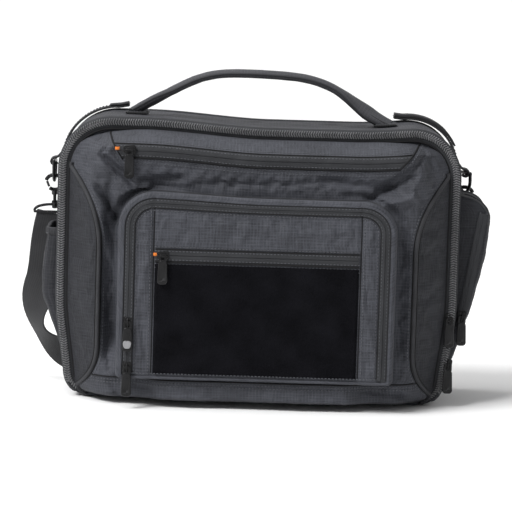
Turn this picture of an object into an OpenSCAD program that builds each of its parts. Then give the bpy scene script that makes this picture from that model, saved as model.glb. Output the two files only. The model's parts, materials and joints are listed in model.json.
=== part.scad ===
// Flight bag standing on its base: zipped clamshell, box pocket, grab handle, shoulder strap.
// Millimetres. Origin: centre of the base on the floor. Front faces -Y, +Z is up.

/* [Body] */
// Outside width of the body
body_width = 412; // [384:2:430]
// Height of the body above the floor
body_height = 293; // [286:1:304]
// Depth of the rear compartment
rear_depth = 112; // [100:2:130]
// Depth of the front compartment
front_depth = 42; // [36:1:50]
// How far the box pocket stands out
box_depth = 22; // [18:1:26]
// Radius of the upper corners
top_radius = 55; // [48:1:62]
// Radius of the lower corners
low_radius = 24; // [20:1:28]

/* [Box pocket] */
// Width of the box pocket
box_width = 284; // [270:2:290]
// Height of its upper edge above the floor
box_top = 224; // [214:1:228]
// Width of the loop panel and of the face zip
loop_width = 206; // [190:2:214]

/* [Handle and strap] */
// Distance between the feet of the handle
handle_span = 246; // [230:2:256]
// Rise of the handle above the body
handle_rise = 47; // [42:1:52]
// Width of the shoulder webbing
strap_width = 38; // [32:1:40]

/* [Zip hardware] */
// Length of a pull tab
pull_length = 26; // [22:1:28]
// Width of a pull tab
pull_width = 8; // [7:0.5:9]

/* [Hidden] */
$fn = 48;
half_width = body_width / 2;
back_y = rear_depth / 2;
rim_y = -back_y;
gusset_t = 4;
back_t = 6;
tape_t = 1.4;
part_gap = 0.6;
zip_band = 12;
zip_foot = 24;
hinge_z = 3;

// Front compartment: a lofted shell between the rim and a smaller face.
shell_t = 4;
rim_front_y = rim_y - tape_t - part_gap - tape_t;
face_y = rim_front_y - front_depth;
face_half = half_width - 43;
face_low = 20;
face_top = body_height - 22;
face_radius = 26;
rim_low = 7;
strip_top = face_low + 7;

// D-shaped side panels of the front, outside a line that swings out at both ends.
d_half = half_width - 45;
d_swing_top = 32;
d_swing_low = 26;
d_bend_top = 180;
d_bend_low = 52;
piping_w = 4;
piping_h = 2.5;

// Box pocket on the front face, with a flap hinged along its foot.
box_half = box_width / 2;
box_low = 31;
box_y = face_y - box_depth;
box_radius = 38;
box_foot_radius = 6;
box_wall_t = 3;
box_border = 8;
flap_t = 2;
flap_foot_radius = 3;
flap_low = box_low + 3;
flap_inset = box_border + part_gap;
u_band = 9;
loop_top = 150;
loop_t = 2;
face_zip_low = loop_top + 1;
face_zip_h = 13;

// Top pocket zip across the upper edge of the face.
top_zip_half = box_half + 4;
top_zip_low = face_top - 16;
top_zip_h = 13;

// Slider and pull, standing off the tape they run on.
slider_gap = 0.4;
slider_l = 12;
slider_w = 9;
plate_t = 1.6;
bar_lift = 4.6;
bar_r = 1;
post_w = 1.4;
eye_r = 2.4;
eye_hole_r = 1.4;
eye_w = 4.4;
pull_t = 2;
bar_half = eye_w / 2 + part_gap + post_w;

// Side pockets.
left_pocket_out = 14;
left_pocket_low = 22;
left_pocket_top = 166;
pocket_front_y = -42;
pocket_back_y = 32;
right_pocket_low = 40;
right_pocket_top = 218;
right_foot_out = 6;
right_head_out = 32;
right_zip_x = half_width + 7.5;
right_zip_z = 92;
right_zip_lean = 10;
right_zip_l = 112;
pocket_wall = 3;
pocket_depth = pocket_back_y - pocket_front_y;

// Rings, hooks and shoulder strap.
anchor_w = 22;
anchor_y = back_y - 6;
anchor_t = 2.5;
anchor_start_x = 134;
ring_x = half_width + 12;
ring_z = 234;
ring_wire = 1.8;
ring_half = 13;
ring_leg = 8;
ring_turn = 22;
hook_eye = 9;
hook_wire = 2;
mouth_angle = 75;
gate_turn = 17.5;
gate_r = 1.3;
stem_r = 1.8;
boss_r = 4.2;
boss_h = 5;
strap_t = 2.4;
strap_y = back_y + 4;
strap_x = ring_x;
strap_top = 178;
loop_h = 9;
loop_y = strap_y + strap_t / 2;
hook_slack = 2.2;
shank_h = 5;
shank_r = 3.2;
eye_z = ring_z - ring_leg - ring_half - hook_slack;
hook_lean = atan((loop_y - anchor_y) / (eye_z - strap_top - loop_h));
hook_length = (eye_z - strap_top - loop_h) / cos(hook_lean);
stem_head = 1.4;
stem_end = hook_length + boss_h / 2 + part_gap + stem_head;
strap_steps = 16;
strap_run_z = 36;
strap_bend = 70;
strap_run_end = 40;
loop_wire = 1.5;
adjuster_x = -70;
sleeve_half = 84;
sleeve_low = 96;
sleeve_top = 226;
sleeve_gap = 7;
sleeve_t = 2.4;

// Handle.
handle_y = -6;
handle_t = 9;
handle_w = 20;
handle_web_w = 8;
foot_bare = 20;
handle_hinge_z = body_height + 6;
handle_apex = body_height + handle_rise;
handle_power = 2.6;
web_t = 2;
anchor_plate_t = 1.2;
anchor_plate_l = 24;
anchor_plate_in = 6;
web_inset = 4;
web_fit = 0.2;

// Places of the sliders: centre, on the surface of their tape.
main_zip_x = half_width - zip_band / 2;
main_upper_at = [main_zip_x, rim_front_y, 92];
main_lower_at = [main_zip_x, rim_front_y, 44];
box_zip_x = box_half - flap_inset - u_band / 2;
box_upper_at = [-box_zip_x, box_y, 88];
box_lower_at = [-box_zip_x, box_y, 42];
top_at = [-box_half + 10, face_y - tape_t, top_zip_low + top_zip_h / 2];
face_at = [-loop_width / 2 + 8, box_y - tape_t, face_zip_low + face_zip_h / 2];
side_at = [right_zip_x, pocket_front_y - tape_t, right_zip_z];

back_panel();
top_gusset();
left_gusset();
right_gusset();
base_gusset();
rear_piping();
main_zip_rear_tape();
lining_panel();
left_side_pocket();
left_pocket_binding();
right_side_pocket();
right_pocket_tape();
trolley_sleeve();
left_anchor_strap();
right_anchor_strap();
left_handle_anchor();
right_handle_anchor();
shoulder_strap();
strap_adjuster();
left_d_ring();
right_d_ring();
left_hook();
right_hook();
left_gate();
right_gate();
left_swivel_loop();
right_swivel_loop();
front_backing();
front_shell();
left_side_panel();
right_side_panel();
left_piping();
right_piping();
base_strip();
main_zip_front_tape();
top_pocket_tape();
box_wall();
flap_panel();
u_zip_tape();
face_zip_tape();
loop_panel();
handle_grip();
handle_webbing();
at_zip(main_upper_at) slider();  // main_slider_upper
at_zip(main_upper_at) pull();  // main_pull_upper
at_zip(main_lower_at) slider();  // main_slider_lower
at_zip(main_lower_at) pull();  // main_pull_lower
at_zip(box_upper_at) slider();  // box_slider_upper
at_zip(box_upper_at) pull();  // box_pull_upper
at_zip(box_lower_at) slider();  // box_slider_lower
at_zip(box_lower_at) pull();  // box_pull_lower
at_zip(top_at) slider(true);  // top_slider
at_zip(top_at) pull();  // top_pull
at_zip(face_at) slider(true);  // face_slider
at_zip(face_at) pull();  // face_pull
at_zip(side_at) slider();  // side_slider
at_zip(side_at) pull();  // side_pull

// ---- shared shapes ----

// Extrude a front-view outline between two depths.
module slab(y0, y1) {
  translate([0, y1, 0]) rotate([90, 0, 0]) linear_extrude(y1 - y0) children();
}

// Rectangle with round corners, its own radius at the foot and at the head.
module rounded(half, low, high, r_low, r_high) {
  overlap = 1;
  translate([-half, low + r_low]) square([2 * half, high - low - r_low - r_high]);
  translate([-half + r_low, low]) square([2 * (half - r_low), r_low + overlap]);
  translate([-half + r_high, high - r_high - overlap]) square([2 * (half - r_high), r_high + overlap]);
  for (side = [-1, 1]) {
    translate([side * (half - r_low), low + r_low]) circle(r_low);
    translate([side * (half - r_high), high - r_high]) circle(r_high);
  }
}

module body_outline(inset = 0) {
  rounded(half_width - inset, inset, body_height - inset, low_radius - inset, top_radius - inset);
}

module box_outline(inset = 0) {
  rounded(box_half - inset, box_low + inset, box_top - inset, box_foot_radius, box_radius - inset);
}

// Everything between two heights in the front view.
module band(z0, z1, x0 = -300, x1 = 300) {
  translate([x0, z0]) square([x1 - x0, z1 - z0]);
}

module gusset_ring() {
  difference() {
    body_outline();
    body_outline(gusset_t);
  }
}

module zip_ring() {
  intersection() {
    difference() {
      body_outline();
      body_outline(zip_band);
    }
    band(zip_foot, body_height);
  }
}

// Place a slider or a pull with its foot just off the tape.
module at_zip(place) {
  translate(place - [0, slider_gap, 0]) children();
}

// ---- rear compartment ----

module back_panel() {
  color("dimgray") slab(back_y - back_t, back_y) body_outline();
}

module gusset(z0, z1, x0, x1) {
  color("gray") slab(rim_y, back_y - back_t) intersection() {
    gusset_ring();
    band(z0, z1, x0, x1);
  }
}

module top_gusset() {
  gusset(body_height - top_radius, body_height, -half_width, half_width);
}

module left_gusset() {
  gusset(low_radius, body_height - top_radius, -half_width, 0);
}

module right_gusset() {
  gusset(low_radius, body_height - top_radius, 0, half_width);
}

module base_gusset() {
  gusset(0, low_radius, -half_width, half_width);
}

module rear_piping() {
  color("black") slab(back_y, back_y + piping_h) difference() {
    body_outline();
    body_outline(piping_w);
  }
}

module main_zip_rear_tape() {
  color("black") slab(rim_y - tape_t, rim_y) zip_ring();
}

module lining_panel() {
  inset = gusset_t + 1;
  color("orange") slab(back_y - back_t - 2, back_y - back_t) body_outline(inset);
}

// Open-topped drop-in pocket on the left gusset.
module left_side_pocket() {
  x_out = -half_width - left_pocket_out;
  color("dimgray") difference() {
    translate([x_out, pocket_front_y, left_pocket_low])
      cube([left_pocket_out, pocket_depth, left_pocket_top - left_pocket_low]);
    translate([x_out + pocket_wall, pocket_front_y + pocket_wall, left_pocket_low + pocket_wall])
      cube([left_pocket_out, pocket_depth - 2 * pocket_wall, left_pocket_top]);
  }
}

module left_pocket_binding() {
  x_out = -half_width - left_pocket_out;
  binding_h = 8;
  color("black") translate([0, 0, left_pocket_top]) difference() {
    translate([x_out, pocket_front_y, 0]) cube([left_pocket_out, pocket_depth, binding_h]);
    translate([x_out + pocket_wall, pocket_front_y + pocket_wall, -1])
      cube([left_pocket_out, pocket_depth - 2 * pocket_wall, binding_h + 2]);
  }
}

// Zipped bellows pocket on the right gusset, widest near its head.
module right_side_pocket() {
  mouth = 12;
  color("dimgray") slab(pocket_front_y, pocket_back_y)
    polygon([[half_width, right_pocket_low], [half_width + right_foot_out, right_pocket_low + mouth],
      [half_width + right_head_out, right_pocket_top - 2 * mouth],
      [half_width + right_head_out - 4, right_pocket_top - mouth / 2],
      [half_width + right_head_out / 2, right_pocket_top], [half_width, right_pocket_top]]);
}

module right_pocket_tape() {
  tape_w = 9;
  color("black") translate([right_zip_x, pocket_front_y, right_zip_z])
    rotate([0, right_zip_lean, 0]) translate([-tape_w / 2, -tape_t, -slider_l])
      cube([tape_w, tape_t, right_zip_l + slider_l]);
}

// Flat band over the back that slips over a trolley handle.
module trolley_sleeve() {
  seam = 10;
  color("dimgray") difference() {
    slab(back_y, back_y + sleeve_gap + sleeve_t)
      band(sleeve_low, sleeve_top, -sleeve_half, sleeve_half);
    slab(back_y - 1, back_y + sleeve_gap)
      band(sleeve_low - 1, sleeve_top + 1, seam - sleeve_half, sleeve_half - seam);
  }
}

// ---- anchors, rings, hooks and strap ----

module on_side(side) {
  mirror([side < 0 ? 1 : 0, 0, 0]) children();
}

// Frame of a ring: middle of its straight bar, turned about the vertical.
module at_ring(turn) {
  translate([ring_x, anchor_y, ring_z]) rotate([0, 0, turn]) children();
}

// Webbing over the shoulder of the body, from the top gusset to the ring.
module anchor_strap(turn) {
  shoulder_z = body_height - top_radius;
  shoulder_x = half_width - top_radius;
  loop_in = ring_wire + part_gap;
  loop_out = loop_in + anchor_t;
  color("black") {
    slab(anchor_y - anchor_w / 2, back_y) {
      translate([shoulder_x, shoulder_z]) difference() {
        intersection() {
          circle(top_radius + anchor_t);
          square(top_radius + anchor_t);
        }
        circle(top_radius);
      }
      translate([anchor_start_x, body_height])
        square([shoulder_x - anchor_start_x, anchor_t]);
      polygon([[half_width, shoulder_z + 3], [half_width + anchor_t, shoulder_z + 3],
        [ring_x, ring_z + loop_out], [ring_x, ring_z + loop_in + 0.2], [half_width, shoulder_z - 1]]);
    }
    at_ring(turn) rotate([90, 0, 0]) linear_extrude(anchor_w, center = true) difference() {
      circle(loop_out);
      circle(loop_in);
    }
  }
}

module left_anchor_strap() {
  on_side(-1) anchor_strap(0);
}

module right_anchor_strap() {
  anchor_strap(ring_turn);
}

// D ring: straight bar in the webbing, half ring hanging under it.
module d_ring(turn) {
  color("silver") at_ring(turn) {
    rotate([90, 0, 0]) cylinder(h = 2 * ring_half, r = ring_wire, center = true);
    for (end = [-1, 1]) {
      translate([0, end * ring_half, 0]) sphere(ring_wire);
      translate([0, end * ring_half, -ring_leg]) cylinder(h = ring_leg, r = ring_wire);
    }
    translate([0, 0, -ring_leg]) rotate([0, 90, 0]) rotate([0, 0, -90])
      rotate_extrude(angle = 180) translate([ring_half, 0]) circle(ring_wire);
  }
}

module left_d_ring() {
  on_side(-1) d_ring(0);
}

module right_d_ring() {
  d_ring(ring_turn);
}

// Frame of a hook: centre of its eye, leaning back to the webbing loop.
module at_hook() {
  translate([ring_x, anchor_y, eye_z]) rotate([hook_lean, 0, 0]) children();
}

// Snap hook: eye with a mouth on its outer side, shank, and swivel stem with a head.
module hook() {
  color("silver") at_hook() {
    rotate([90, 0, 0]) rotate([0, 0, mouth_angle / 2 - gate_turn])
      rotate_extrude(angle = 360 - mouth_angle) translate([hook_eye, 0]) circle(hook_wire);
    translate([0, 0, -hook_eye - shank_h]) cylinder(h = shank_h, r = shank_r);
    translate([0, 0, -stem_end]) cylinder(h = stem_end - hook_eye - shank_h + 1, r = stem_r);
    translate([0, 0, -stem_end]) cylinder(h = stem_head, r = stem_r + stem_head);
  }
}

module left_hook() {
  on_side(-1) hook();
}

module right_hook() {
  hook();
}

// Sprung gate closing the mouth of the hook.
module gate() {
  chord = 2 * hook_eye * sin(mouth_angle / 2);
  reach = hook_eye * cos(mouth_angle / 2);
  color("black") at_hook() rotate([0, gate_turn, 0]) translate([reach, 0, 0])
    cylinder(h = chord - 2 * hook_wire - 1, r = gate_r, center = true);
}

module left_gate() {
  on_side(-1) gate();
}

module right_gate() {
  gate();
}

// Rectangular loop that carries the webbing, with a boss for the hook's stem.
module swivel_loop() {
  arm = strap_width / 2 + 2.5;
  color("silver") difference() {
    translate([strap_x, loop_y, strap_top]) {
      for (z = [0, loop_h]) translate([0, 0, z]) rotate([0, 90, 0])
        cylinder(h = 2 * arm, r = loop_wire, center = true);
      for (end = [-1, 1]) translate([end * arm, 0, 0]) {
        cylinder(h = loop_h, r = loop_wire);
        sphere(loop_wire);
        translate([0, 0, loop_h]) sphere(loop_wire);
      }
      translate([0, 0, loop_h]) rotate([hook_lean, 0, 0])
        cylinder(h = boss_h, r = boss_r, center = true);
    }
    translate([strap_x, loop_y, strap_top + loop_h]) rotate([hook_lean, 0, 0])
      cylinder(h = 3 * boss_h, r = stem_r + part_gap, center = true);
  }
}

module left_swivel_loop() {
  on_side(-1) swivel_loop();
}

module right_swivel_loop() {
  swivel_loop();
}

// Flat webbing: down from the left loop, round and across behind the bag, up to the right one.
module shoulder_strap() {
  half = strap_width / 2;
  top = strap_top - loop_wire - 0.4;
  bend_x = -strap_x + strap_bend;
  bend_z = strap_run_z + strap_bend;
  rise_x = strap_x - strap_run_end;
  rise_z = top - strap_run_z;
  color("dimgray") slab(strap_y, strap_y + strap_t) {
    translate([-strap_x - half, bend_z]) square([strap_width, top - bend_z]);
    translate([bend_x, bend_z]) difference() {
      circle(strap_bend + half);
      circle(strap_bend - half);
      translate([0, -bend_z]) square(2 * bend_z);
      translate([-2 * bend_z, 0]) square(4 * bend_z);
    }
    translate([bend_x, strap_run_z - half]) square([strap_run_end - bend_x, strap_width]);
    polygon([for (i = [0:strap_steps]) rise_point(i, rise_x, rise_z, -half),
      for (i = [strap_steps:-1:0]) rise_point(i, rise_x, rise_z, half)]);
  }
}

// Edge of the rising leg: an S between the run behind the bag and the right loop.
function rise_point(i, rise_x, rise_z, offset) =
  let (t = i / strap_steps,
    x = strap_run_end + rise_x * (1 - pow(1 - t, 2.2)),
    z = strap_run_z + rise_z * pow(t, 2.2),
    dx = rise_x * pow(1 - t, 1.2),
    dz = rise_z * pow(t, 1.2),
    len = sqrt(dx * dx + dz * dz))
  [x - offset * dz / len, z + offset * dx / len];

// Tri-glide on the run behind the bag.
module strap_adjuster() {
  half = strap_width / 2;
  wall = 3;
  lip = 2;
  depth = strap_t + 2 * (lip + part_gap);
  length = 28;
  slot = 6;
  color("black") translate([adjuster_x, strap_y - lip - part_gap, strap_run_z]) difference() {
    translate([-length / 2, 0, -half - wall - part_gap])
      cube([length, depth, 2 * (half + wall + part_gap)]);
    translate([-length, lip, -half - part_gap])
      cube([2 * length, strap_t + 2 * part_gap, 2 * (half + part_gap)]);
    for (x = [-slot - 3, 3]) translate([x, -1, -half + 1]) cube([slot, depth + 2, 2 * half - 2]);
  }
}

// ---- front panel ----

// Solid between the rim and the face of the front compartment, drawn in by a wall.
module loft(inset = 0, lift = 0) {
  hull() {
    slab(rim_front_y - 1, rim_front_y + inset)
      rounded(half_width - zip_band - inset + lift, rim_low + inset - lift,
        body_height - zip_band - inset + lift, low_radius, top_radius - zip_band - inset + lift);
    slab(face_y + inset - lift, face_y + inset - lift + 1)
      rounded(face_half - inset + lift, face_low + inset - lift, face_top - inset + lift,
        low_radius, face_radius - inset + lift);
  }
}

module shell() {
  difference() {
    loft();
    loft(shell_t);
  }
}

// Front edge of a D panel: upright in the middle, swinging out at the head and the foot.
function d_edge(z) = d_half
  + d_swing_top * pow(max(0, z - d_bend_top) / (face_top - d_bend_top), 2)
  + d_swing_low * pow(max(0, d_bend_low - z) / d_bend_low, 2);
d_heights = [for (i = [0:6]) i * d_bend_low / 6, for (i = [0:8]) d_bend_top + i * 15];

module d_outline(out = 0) {
  polygon(concat([for (z = d_heights) [d_edge(z) + out, z]],
    [[half_width, d_heights[len(d_heights) - 1]], [half_width, 0]]));
}

module front_backing() {
  color("orange") slab(rim_front_y, rim_front_y + tape_t) body_outline(zip_band);
}

module front_shell() {
  color("dimgray") difference() {
    shell();
    slab(face_y - 10, rim_y) {
      band(-1, strip_top);
      d_outline();
      mirror([1, 0]) d_outline();
    }
  }
}

module side_panel() {
  color("gray") intersection() {
    shell();
    slab(face_y - 10, rim_y) difference() {
      d_outline();
      band(-1, strip_top);
    }
  }
}

module left_side_panel() {
  on_side(-1) side_panel();
}

module right_side_panel() {
  side_panel();
}

module base_strip() {
  color("gray") intersection() {
    shell();
    slab(face_y - 10, rim_y) band(-1, strip_top);
  }
}

// Corded edge standing off the shell along the front of a D panel.
module piping() {
  color("black") intersection() {
    difference() {
      loft(0, piping_h);
      loft();
    }
    slab(face_y - 10, rim_front_y - 2) difference() {
      d_outline(-piping_w / 2);
      d_outline(piping_w / 2);
      band(-1, strip_top);
    }
  }
}

module left_piping() {
  on_side(-1) piping();
}

module right_piping() {
  piping();
}

module main_zip_front_tape() {
  color("black") slab(rim_front_y, rim_front_y + tape_t) zip_ring();
}

module top_pocket_tape() {
  color("black") slab(face_y - tape_t, face_y)
    band(top_zip_low, top_zip_low + top_zip_h, -top_zip_half, top_zip_half);
}

// Wall of the box pocket with the border its zip is sewn to.
module box_wall() {
  color("dimgray") {
    slab(box_y + flap_t, face_y) difference() {
      box_outline();
      box_outline(box_wall_t);
    }
    slab(box_y, box_y + flap_t) difference() {
      box_outline();
      rounded(box_half - box_border, flap_low - part_gap, box_top - box_border,
        flap_foot_radius, box_radius - box_border);
    }
  }
}

// ---- flap of the box pocket ----

module flap_outline(inset = 0) {
  rounded(box_half - flap_inset - inset, flap_low, box_top - flap_inset - inset,
    flap_foot_radius, box_radius - flap_inset - inset);
}

module flap_panel() {
  color("dimgray") slab(box_y, box_y + flap_t) flap_outline(u_band);
}

module u_zip_tape() {
  color("black") slab(box_y, box_y + flap_t) difference() {
    flap_outline();
    flap_outline(u_band);
  }
}

module face_zip_tape() {
  color("black") slab(box_y - tape_t, box_y)
    band(face_zip_low, face_zip_low + face_zip_h, -loop_width / 2, loop_width / 2);
}

module loop_panel() {
  color("black") slab(box_y - loop_t, box_y)
    band(flap_low, loop_top, -loop_width / 2, loop_width / 2);
}

// ---- handle ----

// Height of the arch over its own hinge line, outer or inner edge.
function arch_z(x, drop) = handle_apex - drop
  - (handle_apex - handle_hinge_z) * pow(abs(x) / (handle_span / 2), handle_power);

module arch(half, drop0, drop1) {
  steps = 24;
  xs = [for (i = [0:steps]) half * (2 * i / steps - 1)];
  polygon(concat([for (x = xs) [x, arch_z(x, drop0)]],
    [for (i = [steps:-1:0]) [xs[i], arch_z(xs[i], drop1)]]));
}

// Padded sleeve of the handle.
module handle_grip() {
  grip_half = handle_span / 2 - foot_bare;
  core = handle_t / 2;
  color("dimgray") difference() {
    slab(handle_y - handle_w / 2, handle_y + handle_w / 2) arch(grip_half, 0, handle_t);
    slab(handle_y - handle_web_w / 2, handle_y + handle_web_w / 2)
      arch(handle_span / 2 - web_inset, core - web_t / 2 - web_fit, core + web_t / 2 + web_fit);
  }
}

// Webbing inside the sleeve, ending in an eye at each foot.
module handle_webbing() {
  core = handle_t / 2;
  color("black") {
    slab(handle_y - handle_web_w / 2, handle_y + handle_web_w / 2)
      arch(handle_span / 2 - web_inset, core - web_t / 2, core + web_t / 2);
    slab(handle_y - handle_web_w / 2, handle_y + handle_web_w / 2) for (side = [-1, 1])
      translate([side * (handle_span / 2 - 2), handle_hinge_z]) square([10, web_t], center = true);
  }
}

// Patch of webbing sewn to the top gusset under each foot.
module handle_anchor() {
  color("black") translate([handle_span / 2 - anchor_plate_in, handle_y - handle_w / 2 - 2, body_height])
    cube([anchor_plate_l, handle_w + 4, anchor_plate_t]);
}

module left_handle_anchor() {
  on_side(-1) handle_anchor();
}

module right_handle_anchor() {
  handle_anchor();
}

// ---- sliders and pulls ----

// Slider on a tape facing -Y; a wide one runs sideways, the others run up and down.
module slider(sideways = false) {
  w = sideways ? slider_l : slider_w;
  h = sideways ? slider_w : slider_l;
  color("black") {
    slab(-plate_t, 0) rounded(w / 2, -h / 2, h / 2, 2.5, 2.5);
    for (side = [-1, 1]) translate([side * (bar_half - post_w / 2), 0, 0]) rotate([0, 90, 0]) {
      translate([0, -bar_lift, 0]) cylinder(h = post_w, r = bar_r + 0.8, center = true);
      translate([-bar_r, -bar_lift, -post_w / 2]) cube([2 * bar_r, bar_lift, post_w]);
    }
    translate([0, -bar_lift, 0]) rotate([0, 90, 0]) cylinder(h = 2 * bar_half, r = bar_r, center = true);
  }
}

// Pull tab hanging from the slider's bar by an eye.
module pull() {
  color("black") translate([0, -bar_lift, 0]) {
    rotate([0, 90, 0]) difference() {
      cylinder(h = eye_w, r = eye_r, center = true);
      cylinder(h = eye_w + 1, r = eye_hole_r, center = true);
    }
    slab(-pull_t / 2, pull_t / 2) {
      translate([-eye_w / 2, -eye_r - 4]) square([eye_w, eye_r + 4 - eye_hole_r - 0.5]);
      rounded(pull_width / 2, -pull_length - eye_r, -eye_r - 2.5, 2, 1.5);
    }
  }
}
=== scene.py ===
import json
import math

import bpy
import numpy as np
from mathutils import Matrix, Vector


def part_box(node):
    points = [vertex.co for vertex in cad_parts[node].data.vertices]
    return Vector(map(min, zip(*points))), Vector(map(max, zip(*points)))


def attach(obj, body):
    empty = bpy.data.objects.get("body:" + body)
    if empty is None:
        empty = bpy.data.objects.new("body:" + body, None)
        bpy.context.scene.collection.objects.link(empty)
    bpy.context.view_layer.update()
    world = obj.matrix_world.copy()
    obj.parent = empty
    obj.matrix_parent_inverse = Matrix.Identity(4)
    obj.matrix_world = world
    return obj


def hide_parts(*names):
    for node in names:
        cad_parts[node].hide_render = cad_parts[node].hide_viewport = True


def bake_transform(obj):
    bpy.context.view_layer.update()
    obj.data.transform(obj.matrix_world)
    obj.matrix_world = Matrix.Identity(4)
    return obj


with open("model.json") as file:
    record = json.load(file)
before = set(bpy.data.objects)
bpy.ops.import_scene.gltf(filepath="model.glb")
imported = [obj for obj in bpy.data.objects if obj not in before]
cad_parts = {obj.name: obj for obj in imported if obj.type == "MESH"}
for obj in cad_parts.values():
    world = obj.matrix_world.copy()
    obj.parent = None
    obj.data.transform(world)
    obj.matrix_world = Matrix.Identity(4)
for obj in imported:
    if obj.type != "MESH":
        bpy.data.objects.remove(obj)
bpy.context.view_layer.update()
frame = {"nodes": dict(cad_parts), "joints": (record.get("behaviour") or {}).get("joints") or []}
MM = 0.001


# ---- driving sizes in millimetres, read off the frame ----

def box_mm(node):
    """Lower and upper corner of a node's box."""
    low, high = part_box(node)
    return np.array(low) / MM, np.array(high) / MM


HALF, BACK_Y, TOP = box_mm("back_panel")[1]
RIM_Y = box_mm("top_gusset")[0][1]
ZIP_Y = box_mm("main_zip_front_tape")[0][1]
FACE_Y = box_mm("front_shell")[0][1]
BOX_LOW, BOX_HIGH = box_mm("box_wall")
BOX_Y = BOX_LOW[1]
BOX_HALF = BOX_HIGH[0]
BOX_RADIUS = 38  # of the box pocket's upper corners
FLAP_FOOT = box_mm("flap_panel")[0][2]
LOOP_LOW, LOOP_HIGH = box_mm("loop_panel")
FACE_ZIP_LOW, FACE_ZIP_HIGH = box_mm("face_zip_tape")
TOP_ZIP_LOW, TOP_ZIP_HIGH = box_mm("top_pocket_tape")
STRIP_TOP = box_mm("base_strip")[1][2]
TOP_RADIUS = 55  # of the body's upper corners
LOW_RADIUS = 24  # of the body's lower corners
ZIP_BAND = 12  # from the body's outline in to the edge of the front's cloth
ZIP_FOOT = 5  # height at which the main zip ends
HINGE_CLEAR = 15  # height at which the rear coil ends, clear of the front panel's hinge
FRONT_LOW, FRONT_HIGH = 1.0, TOP - ZIP_BAND
D_HALF = HALF - 45  # from the middle to the upright piping of the front
FLARE = 2.0  # the front is this much wider than the back, on each side
CHIN = 0.72 * (FACE_Y - BOX_Y)  # how far the foot of the front swells under the box pocket
TWIST_AT = 0.185  # share of the shoulder strap's length at which it is twisted
RNG = np.random.default_rng(7)
BAG, FRONT, FLAP = "bag_body", "front_panel", "pocket_flap"  # the bodies that cloth rides on


# ---- small maths ----

def smooth(t):
    """Soft step: 0 below 0, 1 above 1."""
    t = np.clip(t, 0, 1)
    return t * t * (3 - 2 * t)


def bump(x, middle, width):
    """Soft hump, 1 in its middle."""
    return np.exp(-((x - middle) / width) ** 2)


def crease(x, z, a, b, width, depth):
    """Soft fold (or ridge, for a negative depth) along the line from a to b, fading at both ends."""
    a, b = np.array(a, float), np.array(b, float)
    along = b - a
    length = np.hypot(*along)
    t = ((x - a[0]) * along[0] + (z - a[1]) * along[1]) / length ** 2
    off = ((x - a[0]) * along[1] - (z - a[1]) * along[0]) / length
    fade = smooth(t * 4 + 0.5) * smooth((1 - t) * 4 + 0.5)
    return depth * fade * np.exp(-(off / width) ** 2)


def ripple(x, z, size, seed):
    """Gentle unevenness of cloth, about -1 to 1, with a wavelength near size."""
    rng = np.random.default_rng(seed)
    total = np.zeros(np.broadcast(x, z).shape)
    for _ in range(7):
        angle, phase = rng.uniform(0, math.tau, 2)
        wave = size * rng.uniform(0.6, 1.8)
        total = total + np.sin((x * math.cos(angle) + z * math.sin(angle)) * math.tau / wave + phase)
    return total / 3.5


def xyz(x, y, z):
    """Points from their coordinates, any of which may be one number for all."""
    return np.stack(np.broadcast_arrays(np.asarray(x, float), y, z), axis=-1)


def unit(v):
    """Vectors brought to length 1."""
    v = np.asarray(v, float)
    return v / np.maximum(np.linalg.norm(v, axis=-1, keepdims=True), 1e-9)


def running_length(path):
    """Length along a path up to each of its points."""
    return np.concatenate([[0], np.cumsum(np.linalg.norm(np.diff(path, axis=0), axis=-1))])


def arc(middle, radius, start, end, count):
    """Points of an arc in the front view, from one angle to another."""
    angle = np.linspace(start, end, count)
    return np.array(middle) + radius * np.stack([np.cos(angle), np.sin(angle)], axis=1)


# ---- mesh building ----

def link(obj):
    """Put an object into the scene."""
    bpy.context.scene.collection.objects.link(obj)


def make(name, verts, faces, body, material, uvs=None, sharp=40):
    """Mesh object from millimetre points, shaded smooth, with uvs in metres, riding on a body.

    A piece that has the name of a CAD node takes its place.
    """
    mesh = bpy.data.meshes.new(name)
    mesh.from_pydata((np.asarray(verts, float) * MM).tolist(), [], [list(map(int, f)) for f in faces])
    mesh.validate()
    layer = mesh.uv_layers.new(name="cloth")
    index = np.zeros(len(mesh.loops), int)
    mesh.loops.foreach_get("vertex_index", index)
    if uvs is None:
        uvs = np.asarray(verts, float)[:, [0, 2]]
    layer.data.foreach_set("uv", (np.asarray(uvs, float)[index] * MM).ravel())
    mesh.shade_smooth()
    mesh.set_sharp_from_angle(angle=math.radians(sharp))
    mesh.materials.append(MATERIALS[material])
    stands_in = name in frame["nodes"]
    obj = bpy.data.objects.new("vis_" + name if stands_in else name, mesh)
    link(obj)
    if body:
        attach(obj, body)
    if stands_in:
        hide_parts(name)
    return obj


def grid_faces(n, m, closed=False):
    """Quads of an n by m grid of points; closed joins the last column to the first."""
    columns = m if closed else m - 1
    return [(i * m + j, (i + 1) * m + j, (i + 1) * m + (j + 1) % m, i * m + (j + 1) % m)
            for i in range(n - 1) for j in range(columns)]


def cloth_uv(points):
    """Lengths along both ways of a grid, so that the weave keeps its size on a curved panel."""
    down = np.linalg.norm(np.diff(points, axis=0), axis=2)
    across = np.linalg.norm(np.diff(points, axis=1), axis=2)
    v = np.concatenate([[0], np.cumsum(down.mean(axis=1))])
    u = np.zeros(points.shape[:2])
    u[:, 1:] = np.cumsum(across, axis=1)
    u -= u[:, points.shape[1] // 2][:, None]
    return np.stack([u, np.broadcast_to(v[:, None], u.shape)], axis=2)


def normals_of(points):
    """Normal at each point of a grid."""
    du = np.gradient(points, axis=1)
    dv = np.gradient(points, axis=0)
    return unit(np.cross(du, dv))


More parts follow.
